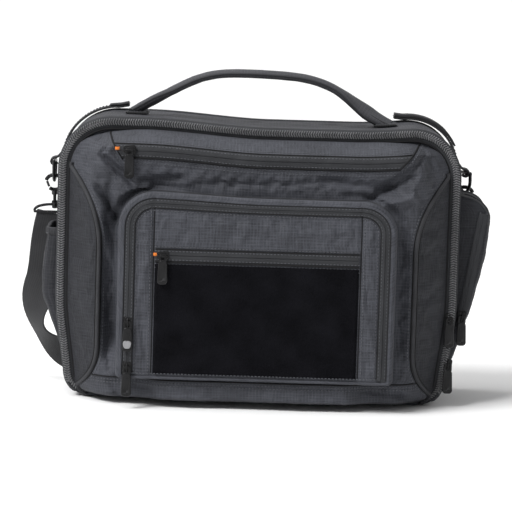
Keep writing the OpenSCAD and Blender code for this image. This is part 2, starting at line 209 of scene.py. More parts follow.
def panel(name, points, thick, body, material):
    """Closed cloth panel: a grid of outer points and the same grid moved inwards by its thickness."""
    n, m = points.shape[:2]
    inner = points - normals_of(points) * thick
    verts = np.concatenate([points.reshape(-1, 3), inner.reshape(-1, 3)])
    outer_faces = grid_faces(n, m)
    size = n * m
    faces = [f[::-1] for f in outer_faces] + [tuple(k + size for k in f) for f in outer_faces]
    rim = [j for j in range(m)] + [i * m + m - 1 for i in range(1, n)]
    rim += [(n - 1) * m + j for j in range(m - 2, -1, -1)] + [i * m for i in range(n - 2, 0, -1)]
    for a, b in zip(rim, rim[1:] + rim[:1]):
        faces.append((a, b, b + size, a + size))
    flat = cloth_uv(points).reshape(-1, 2)
    return make(name, verts, faces, body, material, np.concatenate([flat, flat]))


def frames_along(path, up):
    """Tangent, side and up vectors at each point of a path; up is a hint, one for all or one each."""
    tangent = unit(np.gradient(path, axis=0))
    up = np.broadcast_to(np.asarray(up, float), path.shape)
    side = unit(np.cross(tangent, up))
    return tangent, side, np.cross(side, tangent)


def sweep(name, path, profile, body, material, up=(0, -1, 0), closed=False, scale=None):
    """Closed profile (points across, up) carried along a path. Ends are capped unless the path closes."""
    path, profile = np.asarray(path, float), np.asarray(profile, float)
    _, side, over = frames_along(path, up)
    if scale is None:
        scale = np.ones((len(path), 2))
    ring = (path[:, None] + side[:, None] * profile[None, :, :1] * scale[:, None, :1]
            + over[:, None] * profile[None, :, 1:] * scale[:, None, 1:])
    n, m = ring.shape[:2]
    faces = grid_faces(n, m, closed=True)
    if closed:
        faces += [((n - 1) * m + j, j, (j + 1) % m, (n - 1) * m + (j + 1) % m) for j in range(m)]
    else:
        faces += [tuple(range(m)), tuple((n - 1) * m + j for j in range(m - 1, -1, -1))]
    uvs = np.stack(np.meshgrid(running_length(profile), running_length(path)), axis=2).reshape(-1, 2)
    return make(name, ring.reshape(-1, 3), faces, body, material, uvs)


def seam(name, path, radius, body):
    """Near-black line along a seam: painted shade of the groove where the cloth folds in."""
    return sweep(name, path, circle(radius, 8), body, "seam")


def circle(radius, count=12):
    """Outline of a circle round the origin."""
    angle = np.arange(count) * math.tau / count
    return np.stack([np.cos(angle), np.sin(angle)], axis=1) * radius


def round_rect(width, height, radius, count=4):
    """Outline of a rectangle with round corners, centred, turning left."""
    points = []
    for k, (sx, sy) in enumerate([(1, 1), (-1, 1), (-1, -1), (1, -1)]):
        for i in range(count + 1):
            angle = math.pi / 2 * (k + i / count)
            points.append((sx * (width / 2 - radius) + radius * math.cos(angle),
                           sy * (height / 2 - radius) + radius * math.sin(angle)))
    return np.array(points)


def scatter(name, verts, faces, places, axes, body, material):
    """Copies of a small shape: one at each place, turned to its three axes (x, y, z vectors)."""
    verts = np.asarray(verts, float)
    all_verts = places[:, None] + np.einsum("vk,nkc->nvc", verts, axes)
    count = len(verts)
    all_faces = [tuple(k + i * count for k in f) for i in range(len(places)) for f in faces]
    return make(name, all_verts.reshape(-1, 3), all_faces, body, material)


def lozenge(length, width, height):
    """Small rounded bar along x: six points round two rings, and two tips."""
    ring = circle(1, 6) * [width / 2, height / 2]
    verts = [(-length / 2, 0, 0)]
    verts += [(-length * 0.32, *p) for p in ring] + [(length * 0.32, *p) for p in ring]
    verts.append((length / 2, 0, 0))
    faces = [(0, 1 + (j + 1) % 6, 1 + j) for j in range(6)]
    faces += [(1 + j, 1 + (j + 1) % 6, 7 + (j + 1) % 6, 7 + j) for j in range(6)]
    faces += [(13, 7 + j, 7 + (j + 1) % 6) for j in range(6)]
    return verts, faces


def resample(path, step):
    """Evenly spaced points along a path, with any further columns carried along."""
    path = np.asarray(path, float)
    length = running_length(path[:, :3])
    count = max(2, int(length[-1] / step) + 1)
    at = np.linspace(0, length[-1], count)
    return np.stack([np.interp(at, length, column) for column in path.T], axis=1)


def stitches(name, path, body, normal=(0, -1, 0), pitch=3.5, lift=0.25):
    """Row of thread along a path lying on cloth."""
    joined = np.concatenate([path, np.broadcast_to(np.asarray(normal, float), np.shape(path))], axis=1)
    joined = resample(joined, pitch)
    points = joined[:, :3]
    tangent, side, over = frames_along(points, joined[:, 3:])
    verts, faces = lozenge(2.3, 0.85, 0.7)
    axes = np.stack([tangent, side, over], axis=1)
    return scatter(name, verts, faces, points + over * lift, axes, body, "thread")


# ---- cloth simulation ----

def thinned(count, step):
    """Indices of every step-th row or column, always with the last one."""
    return np.unique(np.append(np.arange(0, count, step), count - 1))


def spread_out(values, rows_at, columns_at, n, m):
    """Values on a thinned grid, interpolated back to the full n by m grid."""
    wide = np.stack([np.interp(np.arange(m), columns_at, row) for row in values])
    return np.stack([np.interp(np.arange(n), rows_at, column) for column in wide.T], axis=1)


def simulated(points, hold, fullness=0.03, swell=2.0, cap=4.0, step=2, frames=20):
    """Let a sewn-down panel find its own folds: a cloth simulation between its seams.

    hold is 1 where the panel is sewn and 0 where it is free. The cloth is cut larger than its place
    by fullness, and swell pushes it outwards. No point moves further than the cap, in millimetres.
    """
    n, m = points.shape[:2]
    rows_at, columns_at = thinned(n, step), thinned(m, step)
    coarse = points[np.ix_(rows_at, columns_at)]
    held = np.clip(hold[np.ix_(rows_at, columns_at)], 0, 1).ravel()
    faces = [f[::-1] for f in grid_faces(*coarse.shape[:2])]
    mesh = bpy.data.meshes.new("cloth_run")
    mesh.from_pydata((coarse.reshape(-1, 3) * MM).tolist(), [], faces)
    obj = bpy.data.objects.new("cloth_run", mesh)
    link(obj)
    group = obj.vertex_groups.new(name="hold")
    for index, weight in enumerate(held):
        group.add([index], float(weight), "REPLACE")
    cloth = obj.modifiers.new("cloth", "CLOTH")
    settings = cloth.settings
    settings.quality = 6
    settings.mass = 0.15
    settings.tension_stiffness = settings.compression_stiffness = 15
    settings.shear_stiffness = 5
    settings.bending_stiffness = 0.25
    settings.vertex_group_mass = "hold"
    settings.shrink_min = -fullness
    settings.use_pressure = True
    settings.uniform_pressure_force = swell
    settings.effector_weights.gravity = 0
    cloth.collision_settings.use_collision = False
    cloth.point_cache.frame_start, cloth.point_cache.frame_end = 1, frames
    scene = bpy.context.scene
    for number in range(1, frames + 1):
        scene.frame_set(number)
    run = obj.evaluated_get(bpy.context.evaluated_depsgraph_get())
    flat = np.zeros(3 * len(held))
    run.data.vertices.foreach_get("co", flat)
    shift = flat.reshape(coarse.shape) / MM - coarse
    scene.frame_set(1)
    bpy.data.objects.remove(obj)
    length = np.linalg.norm(shift, axis=-1, keepdims=True)
    shift = shift * np.minimum(1, cap / np.maximum(length, 1e-6))
    full = [spread_out(shift[..., k], rows_at, columns_at, n, m) for k in range(3)]
    return points + np.stack(full, axis=-1)


def near_line(x, z, a, b):
    """Distance from the line between two points of the front view."""
    a, b = np.array(a, float), np.array(b, float)
    along = b - a
    t = np.clip(((x - a[0]) * along[0] + (z - a[1]) * along[1]) / (along @ along), 0, 1)
    return np.hypot(x - a[0] - t * along[0], z - a[1] - t * along[1])


def sewn(distance, width=5.0, fade=9.0):
    """Hold of a seam: whole within its width, fading to free."""
    return 1 - smooth((np.asarray(distance, float) - width) / fade)


# ---- materials: procedural, on the "cloth" uvs in metres ----

MATERIALS = {}


class Paint:
    """A node material in the making, with one call for each node."""

    def __init__(self, name):
        self.material = bpy.data.materials.new(name)
        self.material.use_nodes = True
        self.tree = self.material.node_tree
        self.shader = self.tree.nodes["Principled BSDF"]
        MATERIALS[name] = self.material

    def set(self, node, values):
        """Give inputs of a node their values, or link them to other nodes."""
        for key, value in values.items():
            if isinstance(value, bpy.types.NodeSocket):
                self.tree.links.new(value, node.inputs[key])
            else:
                node.inputs[key].default_value = value

    def node(self, kind, values=None, out=0, **settings):
        """Add a node and return one of its outputs."""
        made = self.tree.nodes.new("ShaderNode" + kind)
        for key, value in settings.items():
            setattr(made, key, value)
        self.set(made, values or {})
        return made.outputs[out]

    def uv(self, scale):
        """The cloth uvs, scaled to cells per metre across and along."""
        place = self.node("UVMap", uv_map="cloth")
        return self.node("Mapping", {0: place, 3: (*scale, 1)})

    def noise(self, scale, detail=2.0, vector=None):
        """Soft noise on the cloth, or on another vector."""
        vector = vector or self.uv((1, 1))
        return self.node("TexNoise", {"Vector": vector, "Scale": scale, "Detail": detail})

    def bands(self, direction, per_metre):
        """Waves 0 to 1 across the cloth: X lies across, Y along."""
        scale = per_metre * math.tau / 20
        return self.node("TexWave", {"Vector": self.uv((1, 1)), "Scale": scale, "Distortion": 0.0},
                         out=1, bands_direction=direction)

    def math(self, operation, a, b):
        """One sum, product or the like of two values."""
        return self.node("Math", {0: a, 1: b}, operation=operation)

    def total(self, *parts):
        """Sum of values, each times its weight."""
        first, *others = [self.math("MULTIPLY", value, weight) for value, weight in parts]
        for term in others:
            first = self.math("ADD", first, term)
        return first

    def mix(self, share, dark, light):
        """Colour between two others, by a share."""
        made = self.tree.nodes.new("ShaderNodeMix")
        made.data_type = "RGBA"
        for socket, value in ((made.inputs[0], share), (made.inputs[6], dark), (made.inputs[7], light)):
            if isinstance(value, bpy.types.NodeSocket):
                self.tree.links.new(value, socket)
            else:
                socket.default_value = (*value, 1) if isinstance(value, tuple) else value
        return made.outputs[2]

    def spread(self, value, low, high, to_low=0.0, to_high=1.0):
        """Value stretched from one range to another."""
        return self.node("MapRange", {0: value, 1: low, 2: high, 3: to_low, 4: to_high})

    def relief(self, height, distance, strength):
        """Normal for heights of a pattern, distance in metres."""
        return self.node("Bump", {"Height": height, "Distance": distance, "Strength": strength})

    def finish(self, color, roughness, normal, gloss, **values):
        """Link the finished pattern to the shader."""
        self.set(self.shader, {"Base Color": color, "Roughness": roughness, "Normal": normal,
                               "Specular IOR Level": gloss, **values})


def ripstop(name, dark, light, cell=3.4, slub=1.0):
    """Nylon ripstop: fine weave, thicker yarns both ways that are a cell apart (mm), and uneven slubs."""
    p = Paint(name)
    weave = p.math("MULTIPLY", p.bands("X", 900), p.bands("Y", 900))
    lines = [p.math("POWER", p.bands(way, 1000 / cell), 9) for way in "XY"]
    grid = p.math("MAXIMUM", *lines)
    across = p.noise(1, 3, p.uv((55, 800)))
    along = p.noise(1, 3, p.uv((800, 55)))
    slubs = p.spread(p.math("ADD", across, along), 0.75, 1.3)
    lying, standing = p.noise(1, 2, p.uv((90, 1100))), p.noise(1, 2, p.uv((1100, 90)))
    streaks = p.spread(p.math("MINIMUM", lying, standing), 0.36, 0.24)
    wear = p.spread(p.noise(14, 4), 0.3, 0.7)
    tone = p.total((slubs, 0.34 * slub), (grid, 0.2), (wear, 0.26), (weave, 0.12), (streaks, -0.42 * slub))
    tone = p.math("ADD", tone, 0.06)
    height = p.total((grid, 0.6), (weave, 0.4), (slubs, 0.5))
    rough = p.spread(wear, 0, 1, 0.62, 0.78)
    p.finish(p.mix(tone, dark, light), rough, p.relief(height, 0.00025, 0.7), 0.25,
             **{"Sheen Weight": 0.02, "Sheen Roughness": 0.4})


def woven(name, dark, light, across, along, sheen=0.02, rough=0.75):
    """Plain narrow weave such as tape and webbing: ribs across and rows along."""
    p = Paint(name)
    ribs, rows = p.bands("X", across), p.bands("Y", along)
    height = p.math("MAXIMUM", ribs, rows)
    wear = p.spread(p.noise(40, 4), 0.3, 0.7)
    tone = p.total((height, 0.5), (wear, 0.4))
    worn = p.spread(wear, 0, 1, rough - 0.1, rough)
    p.finish(p.mix(tone, dark, light), worn, p.relief(height, 0.0002, 0.8), 0.25,
             **{"Sheen Weight": sheen, "Sheen Roughness": 0.5})


def loop_pile():
    """Short loops: very dark, with fine light specks of painted sparkle, and a faint sheen where they catch
    the light.
    """
    p = Paint("pile")
    loops = p.node("TexVoronoi", {"Vector": p.uv((1, 1)), "Scale": 1100})
    tufts = p.noise(500, 3)
    patch = p.spread(p.noise(30, 4), 0.35, 0.65)
    # Fine light specks in the colour: painted sparkle of the loops.
    painted_sparkle = p.spread(p.noise(2600, 1), 0.66, 0.74)
    tone = p.total((tufts, 0.6), (patch, 0.4), (painted_sparkle, 1.6))
    color = p.mix(tone, (0.0012, 0.0012, 0.0016), (0.0090, 0.0090, 0.0115))
    p.finish(color, 0.95, p.relief(p.math("ADD", loops, tufts), 0.0006, 0.9), 0.04,
             **{"Sheen Weight": 0.006, "Sheen Roughness": 0.6})


def hard(name, dark, light, metallic, rough, gloss=0.5):
    """Plated or moulded part: lighter sharp edges, partly rubbed wear and partly painted highlight, with
    smudges and fine grain.
    """
    p = Paint(name)
    place = p.node("TexCoord", out=3)
    smudge = p.spread(p.noise(60, 5, place), 0.35, 0.7)
    pits = p.noise(1800, 2, place)
    # Lighter colour on sharp edges: painted highlight along the edges, together with rubbed wear.
    edge = p.spread(p.node("NewGeometry", out=7), 0.5, 0.62)
    tone = p.total((smudge, 0.15), (edge, 0.85))
    smudged = p.spread(smudge, 0, 1, rough, rough + 0.14)
    p.finish(p.mix(tone, dark, light), smudged, p.relief(pits, 0.00003, 0.4), gloss, Metallic=metallic)


ripstop("ripstop", (0.013, 0.0138, 0.0168), (0.094, 0.098, 0.116))
# Darker copy of the ripstop for the side panels and side pockets: painted shade of the sides that face away
# from the light.
ripstop("ripstop_painted_shade", (0.005, 0.0053, 0.0068), (0.041, 0.0425, 0.050), slub=1.25)
ripstop("ripstop_side", (0.014, 0.0142, 0.017), (0.082, 0.084, 0.096), slub=0.7)
ripstop("handle", (0.026, 0.0265, 0.030), (0.105, 0.106, 0.116), slub=0.5)
ripstop("lining", (0.55, 0.13, 0.015), (0.82, 0.27, 0.05), cell=2.5, slub=0.4)
woven("tape", (0.011, 0.0116, 0.0132), (0.041, 0.0425, 0.047), 1100, 1100)
# Coil far lighter than its tape: partly painted highlight, standing in for the light caught on the zigzag
# of the teeth.
woven("coil", (0.06, 0.06, 0.064), (0.24, 0.242, 0.25), 300, 900, 0.0, 0.4)
woven("piping", (0.012, 0.012, 0.014), (0.046, 0.047, 0.052), 900, 700)
# Near-black cord laid along seams and welts: painted shade of their grooves.
woven("seam", (0.002, 0.002, 0.0024), (0.008, 0.008, 0.0095), 900, 700, 0.0)
woven("webbing", (0.009, 0.009, 0.0102), (0.038, 0.0385, 0.041), 420, 800)
woven("thread", (0.040, 0.042, 0.048), (0.12, 0.124, 0.138), 600, 2500)
loop_pile()
hard("ring_metal", (0.006, 0.006, 0.0065), (0.060, 0.060, 0.064), 0.6, 0.2, gloss=0.3)
hard("zip_metal", (0.0010, 0.0010, 0.0012), (0.050, 0.050, 0.053), 0.0, 0.08, gloss=0.15)
hard("bright_metal", (0.24, 0.24, 0.25), (0.50, 0.50, 0.52), 0.9, 0.25)
hard("plastic", (0.008, 0.008, 0.009), (0.026, 0.026, 0.028), 0.0, 0.4)


# ---- shape of the bag ----

def sag(x):
    """How far the soft top edge hangs below its full height."""
    return 7.0 * smooth((x + 120) / 130) * smooth((215 - x) / 120) + 1.5


def half_width(z):
    """Half width along the zip: the body narrows towards its foot and flares towards its front."""
    narrowing, over = 9, 110
    return HALF - narrowing + (narrowing + FLARE) * smooth(z / over)


def rounded(half, low, high, r_low, r_top, low_count):
    """Points up the left side, round its two corners, and down the right side."""
    foot = arc((r_low - half, low + r_low), r_low, 1.5 * math.pi, math.pi, low_count)
    head = arc((r_top - half, high - r_top), r_top, math.pi, 0.5 * math.pi, 17)
    left = np.concatenate([foot, head])
    x, z = np.concatenate([left, left[::-1] * [-1, 1]]).T
    return xyz(x, 0, z)


def outline(inset=0.0, step=3.0, foot=None):
    """Body outline in the front view, from the lower left corner over the top to the lower right."""
    r_low = LOW_RADIUS - min(inset, LOW_RADIUS - 3)
    path = resample(rounded(HALF - inset, inset, TOP - inset, r_low, TOP_RADIUS - inset, 9), step)
    path[:, 0] = path[:, 0] * half_width(path[:, 2]) / HALF
    path[:, 2] = settle(path[:, 0], path[:, 2])
    if foot is not None:
        path = path[path[:, 2] > foot]
    return path


def row_half(z, inset, low, high, r_low, r_top, half=HALF):
    """Half width of a rounded outline at height z."""
    z = np.asarray(z, float)
    cut_top = np.clip(z - (high - r_top), 0, r_top)
    cut_low = np.clip((low + r_low) - z, 0, r_low)
    return (half - inset - r_top + np.sqrt(np.maximum(r_top ** 2 - cut_top ** 2, 0))
            - r_low + np.sqrt(np.maximum(r_low ** 2 - cut_low ** 2, 0)))


def rows(low, high, count):
    """Heights from low to high, closer together near both ends."""
    t = (1 - np.cos(math.pi * np.linspace(0, 1, count))) / 2
    return low + (high - low) * t


def front_half(z):
    """Half width of the front compartment where it meets the zip."""
    inner = row_half(z, ZIP_BAND, FRONT_LOW, FRONT_HIGH, LOW_RADIUS - 6, TOP_RADIUS - ZIP_BAND)
    return inner * half_width(z) / HALF


def settle(x, z):
    """Real height of a point of the front: the upper part follows the sagging zip."""
    upright_up_to, over = 150, 120
    return z - sag(x) * smooth((z - upright_up_to) / over)


def d_edge(z):
    """Line of the piping: upright in the middle, swinging out at the head and the foot."""
    z = np.asarray(z, float)
    head_from, head_over, head_swing = 160, 110, 64
    foot_from, foot_swing = 64, 40
    head = np.clip((z - head_from) / head_over, 0, 1)
    foot = np.clip((foot_from - z) / foot_from, 0, 1)
    return D_HALF + head_swing * head ** 2.2 + foot_swing * foot ** 2.6


def off_box(x, z):
    """Distance outwards from the outline of the box pocket."""
    beside = np.abs(x) - row_half(z, 0, BOX_LOW[2], BOX_HIGH[2], 6, BOX_RADIUS, BOX_HALF)
    return np.maximum(beside, z - BOX_HIGH[2])


# Folds of the front: both ends of each (x, z), its width and its depth, a ridge where that is negative.
FRONT_FOLDS = [
    ((110, 222), (158, 248), 4, 8.5), ((122, 214), (160, 226), 5, -5), ((122, 234), (168, 262), 4, 6),
    ((60, 244), (146, 232), 5, 3.6), ((-160, 256), (-126, 226), 4, 8), ((-166, 226), (-140, 186), 4.2, 8),
    ((-150, 262), (-132, 238), 4, 5), ((-180, 250), (-158, 230), 4, 4), ((-174, 236), (-150, 150), 5, -3),
    ((-158, 176), (-151, 40), 6, 6), ((-152, 225), (-148, 50), 6, 9), ((-122, 232), (-78, 236), 4, 5),
    ((-60, 232), (90, 242), 4, 1.8), ((150, 190), (150, 50), 6, 4), ((176, 200), (180, 90), 7, 4),
    ((-186, 190), (-180, 70), 7, 3.6), ((168, 120), (192, 60), 5, 3.6), ((-192, 120), (-168, 60), 5, 3),
]


def front_y(x, z):
    """Depth of the front compartment: swollen from the zip to a nearly flat face, with its folds."""
    x, z = np.broadcast_arrays(np.asarray(x, float), np.asarray(z, float))
    side_bulge, head_bulge, foot_bulge = 44, 17, 10  # from the edge in to where the face is flat
    side = (front_half(z) - np.abs(x)) / side_bulge
    head = (FRONT_HIGH - z) / head_bulge
    foot = (z - FRONT_LOW) / foot_bulge
    corner = 1 - np.sqrt(sum(np.clip(1 - way, 0, 1) ** 2 for way in (side, head, foot)))
    rise = np.sin(np.clip(corner, 0, 1) * math.pi / 2) ** 0.9
    y = ZIP_Y + (FACE_Y - ZIP_Y) * rise
    d_sink = 5  # the D panels lie back
    sink = np.clip((np.abs(x) - D_HALF) / 40, 0, 1) * np.clip((front_half(z) - np.abs(x)) / 20, 0, 1)
    y = y + d_sink * sink
    y = y - CHIN * smooth((z + 2) / 12) * smooth((36 - z) / 8) * smooth((BOX_HALF - 18 - np.abs(x)) / 34)
    folds = sum(crease(x, z, *fold) for fold in FRONT_FOLDS)
    moat_depth = 9  # of the groove round the box pocket, deeper on the left
    moat = smooth((np.abs(x) - 60) / 50) * (0.72 - 0.28 * np.sign(x)) * smooth((z - 44) / 30)
    folds = folds + moat_depth * moat * bump(off_box(x, z), 2, 5)
    uneven = 1.1 * ripple(x, z, 70, 3) + 0.45 * ripple(x, z, 22, 5)
    calm = np.clip(rise, 0, 1) ** 2
    return y + (folds + uneven) * calm


def front_points(x, z, lift=0.0):
    """Points on the front surface, lifted off it by some millimetres."""
    return xyz(x, front_y(x, z) - lift, settle(x, z))


def strip_between(left, right, heights, columns):
    """Grid with one row at each height, from left(z) to right(z)."""
    t = np.linspace(0, 1, columns)
    x = left[:, None] * (1 - t) + right[:, None] * t
    return x, np.broadcast_to(heights[:, None], x.shape)


# ---- rear compartment ----

def gusset_grid(path):
    """The band round the body between the zip and the back: padded, sinking between its two seams."""
    depth = np.concatenate([[RIM_Y, RIM_Y + 2, RIM_Y + 5], np.linspace(RIM_Y + 9, BACK_Y - 9, 30),
                            [BACK_Y - 5, BACK_Y - 2.5]])
    tangent = unit(np.gradient(path, axis=0))
    out = xyz(-tangent[:, 2], 0, tangent[:, 0])
    t = (depth - RIM_Y) / (BACK_Y - RIM_Y)
    s, d = np.meshgrid(running_length(path), depth, indexing="ij")
    swell = -1.2 * np.abs(2 * t - 1) ** 6 - 0.7
    wave = 0.9 * ripple(s, d, 60, 11) + 0.4 * ripple(s, d, 20, 12) - 0.6
    on_floor = smooth((path[:, 2] - 4) / 14)[:, None]
    off = swell[None] + wave * on_floor * (1 - np.abs(2 * t - 1) ** 4)
    off = off - FLARE * t[None] * np.abs(out[:, :1]) * smooth(path[:, 2:] / 60)
    return path[:, None] * [1, 0, 1] + out[:, None] * off[..., None] + d[..., None] * [0, 1, 0]


def gussets():
    """The band in four panels: left, over the top, right, and under the foot."""
    path = outline(0.0, 3.0)
    shoulder, ankle = TOP - TOP_RADIUS, LOW_RADIUS
    left = np.arange(len(path))[(path[:, 2] > ankle) & (path[:, 2] < shoulder) & (path[:, 0] < 0)]
    right = np.arange(len(path))[(path[:, 2] > ankle) & (path[:, 2] < shoulder) & (path[:, 0] > 0)]
    spans = {
        "left_gusset": (left[0] - 1, left[-1] + 1),
        "top_gusset": (left[-1] + 1, right[0] - 1),
        "right_gusset": (right[0] - 1, right[-1] + 1),
    }
    whole = gusset_grid(path)
    for node, (first, last) in spans.items():
        panel(node, whole[last:first - 1:-1], 2.5, BAG, "ripstop_side")
    foot_left, foot_right = whole[left[0] - 1::-1], whole[:right[-1]:-1]
    base = np.linspace(foot_left[-1], foot_right[0], 24)[1:-1]
    lower = np.concatenate([foot_left, base, foot_right])
    lower[..., 2] = np.maximum(lower[..., 2], 0.6)
    panel("base_gusset", lower, 2.5, BAG, "ripstop_side")
    for k, (first, _) in enumerate(spans.values()):
        edge = whole[first][2:-1]
        out = unit(edge * [1, 0, 1] - [0, 0, TOP / 2])
        stitches(f"gusset_stitch_{k}", edge + out * 0.4, BAG, out)


def filled(y, inset, swell, seed, columns=90, count=70, r_low=None, flare=0.0):
    """Upright panel across the whole outline, swollen in the middle."""
    high = TOP - inset
    z = rows(inset + 0.2, high - 0.2, count)
    r_low = r_low or LOW_RADIUS - inset
    half = row_half(z, inset, inset, high, r_low, TOP_RADIUS - inset)
    half = half * (half_width(z) - (FLARE - flare) * smooth(z / 60)) / HALF
    x, zz = strip_between(-half, half, z, columns)
    edge = np.clip((half[:, None] - np.abs(x)) / 40, 0, 1) * np.clip((zz - inset) / 40, 0, 1)
    edge = edge * np.clip((high - zz) / 40, 0, 1)
    uneven = 0.9 * ripple(x, zz, 80, seed) + 0.3 * ripple(x, zz, 25, seed + 1)
    return xyz(x, y + swell * smooth(edge) + uneven * edge, settle(x, zz))


def back_and_lining():
    """Back panel, the lining inside it, the backing of the front, and the piping of the rear edge."""
    back = filled(BACK_Y - 2.0, 1.5, 1.6, 21)
    panel("back_panel", back[:, ::-1], 4, BAG, "ripstop_side")
    lining = filled(BACK_Y - 7, 5, -1.0, 31, columns=50, count=40)
    panel("lining_panel", lining, 0.8, BAG, "lining")
    backing = filled(ZIP_Y + 2.6, ZIP_BAND + 1.5, 0.2, 33, columns=60, count=46, r_low=20, flare=FLARE)
    panel("front_backing", backing[:, ::-1], 0.8, FRONT, "lining")
    ring = outline(2.0, 4.0)
    ring[:, 0] -= FLARE * np.sign(ring[:, 0]) * smooth(np.abs(ring[:, 0]) / 200) * smooth(ring[:, 2] / 60)
    ring[:, 1] = BACK_Y - 0.4
    low = np.linspace(ring[-1], ring[0], 60)[1:-1]
    sweep("rear_piping", np.concatenate([ring, low]), circle(1.9), BAG, "piping", closed=True)
    inner = outline(9.0, 4.0)
    inner[:, 1] = BACK_Y + 0.2
    stitches("back_stitch", inner, BAG, (0, 1, 0))


# ---- front panel ----

def d_head():
    """Height at which the piping meets the zip."""
    z = np.linspace(200, FRONT_HIGH - 1, 400)
    return float(z[np.argmax(d_edge(z) > front_half(z) - 1.5)])


# Diagonal seams at the ends of the top pocket: lower and upper end of the left one and of the right one.
CORNER_SEAMS = np.array([[(-139.0, 252.0), (-154.0, 277.0)], [(141.0, 253.5), (164.0, 277.5)]])


def between_seams(z):
    """Ends of the top pocket's tape at a height: it is cut off by the two diagonal seams."""
    return [low[0] + (z - low[1]) * (high[0] - low[0]) / (high[1] - low[1]) for low, high in CORNER_SEAMS]


def front_hold(x, z):
    """Where the front shell is sewn: its edges, the zip, the box pocket and the corner seams."""
    edge = np.minimum(d_edge(z), front_half(z)) - np.abs(x)
    hold = sewn(edge, 6, 8)
    hold = np.maximum(hold, sewn(FRONT_HIGH - z, 4, 6))
    hold = np.maximum(hold, sewn(z - STRIP_TOP, 4, 8))
    off_zip = np.maximum(np.abs(x) - TOP_ZIP_HIGH[0], np.maximum(TOP_ZIP_LOW[2] - z, z - TOP_ZIP_HIGH[2]))
    off_seam = np.minimum(*(near_line(x, z, *ends) for ends in CORNER_SEAMS))
    hold = np.maximum(hold, sewn(off_zip, 7, 6))
    hold = np.maximum(hold, sewn(off_box(x, z), 3, 5))
    return np.maximum(hold, sewn(off_seam, 4, 5))


def front_shell():
    """Middle panel of the front, between the two pipings."""
    heights = rows(STRIP_TOP, FRONT_HIGH, 170)
    half = np.minimum(d_edge(heights), front_half(heights))
    x, z = strip_between(-half, half, heights, 230)
    shape = simulated(front_points(x, z), front_hold(x, z), fullness=0.032, swell=1.5, cap=4)
    panel("front_shell", shape, 1.2, FRONT, "ripstop")


def side_panels():
    """Panels between the pipings and the main zip, in a darker copy of the ripstop that is painted shade.
    """
    heights = rows(FRONT_LOW + 1, d_head(), 130)
    for side, node in ((-1, "left_side_panel"), (1, "right_side_panel")):
        inner, outer = side * d_edge(heights), side * front_half(heights)
        inner = side * np.minimum(np.abs(inner), np.abs(outer) - 1)
        first, last = (inner, outer) if side > 0 else (outer, inner)
        x, z = strip_between(first, last, heights, 36)
        edge = np.minimum(np.abs(x) - np.abs(inner)[:, None], np.abs(outer)[:, None] - np.abs(x))
        hold = np.maximum(sewn(edge, 3, 6), sewn(heights[-1] - z, 6, 12))
        shape = simulated(front_points(x, z), hold, fullness=0.015, swell=1.0, cap=3)
        panel(node, shape, 1.2, FRONT, "ripstop_painted_shade")


# Folds of the base strip, in the same form as those of the front.
STRIP_FOLDS = [
    ((128, 26), (172, 8), 3, 3.2), ((142, 28), (160, 4), 3, 2.4), ((112, 22), (150, 16), 2.6, 2.2),
    ((-150, 28), (-136, 6), 3.4, 2.6), ((-122, 20), (-60, 16), 3, 1.4),
]


def base_strip():
    """Foot of the front: its lower edge stays on the floor with the body when the panel opens."""
    heights = rows(FRONT_LOW, STRIP_TOP, 22)
    half = np.minimum(d_edge(heights), front_half(heights) - 1)
    x, z = strip_between(-half, half, heights, 230)
    strip = front_points(x, z)
    gathers = sum(crease(x, z, *fold) for fold in STRIP_FOLDS)
    inside = smooth((z - FRONT_LOW) / 6) * smooth((STRIP_TOP - z) / 4)
    strip[..., 1] += (gathers + 0.7 * ripple(x, z, 24, 41)) * inside
    piece = panel("base_strip", strip, 1.6, None, "ripstop")
    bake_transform(piece)


def piping_and_seams():
    """Upright pipings of the front, and the seams of its strip and of its corners."""
    z = np.linspace(FRONT_LOW + 2, d_head() + 3, 110)
    for side, node in ((-1, "left_piping"), (1, "right_piping")):
        edge = np.minimum(d_edge(z), front_half(z) - 2.5)
        path = front_points(side * edge, z, 1.2)
        sweep(node, path, circle(2.1, 14), FRONT, "piping")
        # Near-black lines of painted shade in the grooves on both sides of each piping.
        for k, off in enumerate((-2.6, 2.6)):
            line = front_points(side * (edge + off), z, 0.1)
            sweep(f"{node}_seam_{k}", line, circle(0.7, 6), FRONT, "seam")
        stitches(node + "_stitch", front_points(side * (edge - 5.2), z, 0.15), FRONT)
    x = np.linspace(-166, 166, 160)
    foot = BOX_LOW[2] - 2.6 + 0 * x
    # Near-black line of painted shade along the strip's seam.
    seam("strip_seam", front_points(x, foot, 0.1), 0.8, FRONT)
    for k, drop in enumerate((2.6, 5.4)):
        stitches(f"strip_stitch_{k}", front_points(x, foot - drop, 0.3), FRONT)
    t = np.linspace(0, 1, 20)[:, None]
    # Corner seams drawn as near-black lines of painted shade.
    for side, (low, high) in zip((-1, 1), CORNER_SEAMS):
        x, z = (low * (1 - t) + high * t).T
        seam(f"corner_seam_{side + 1}", front_points(x, z, 0.9), 0.9, FRONT)
        stitches(f"corner_stitch_{side + 1}", front_points(x + side * 3.4, z - 1.6, 0.3), FRONT)


def tape_rows(low, high):
    """Heights across a zip tape and how far each stands off: two halves with a groove between."""
    middle = (low + high) / 2
    half = middle - low
    off_middle = np.array([half, half - 0.8, half - 2.2, 1.6, 0.5, 0.25])
    z = np.concatenate([middle - off_middle, [middle], middle + off_middle[::-1]])
    lift = np.array([0.5, 0.9, 0.8, 1.1, 1.05, 0.6])
    return z, np.concatenate([lift, [0.4], lift[::-1]])


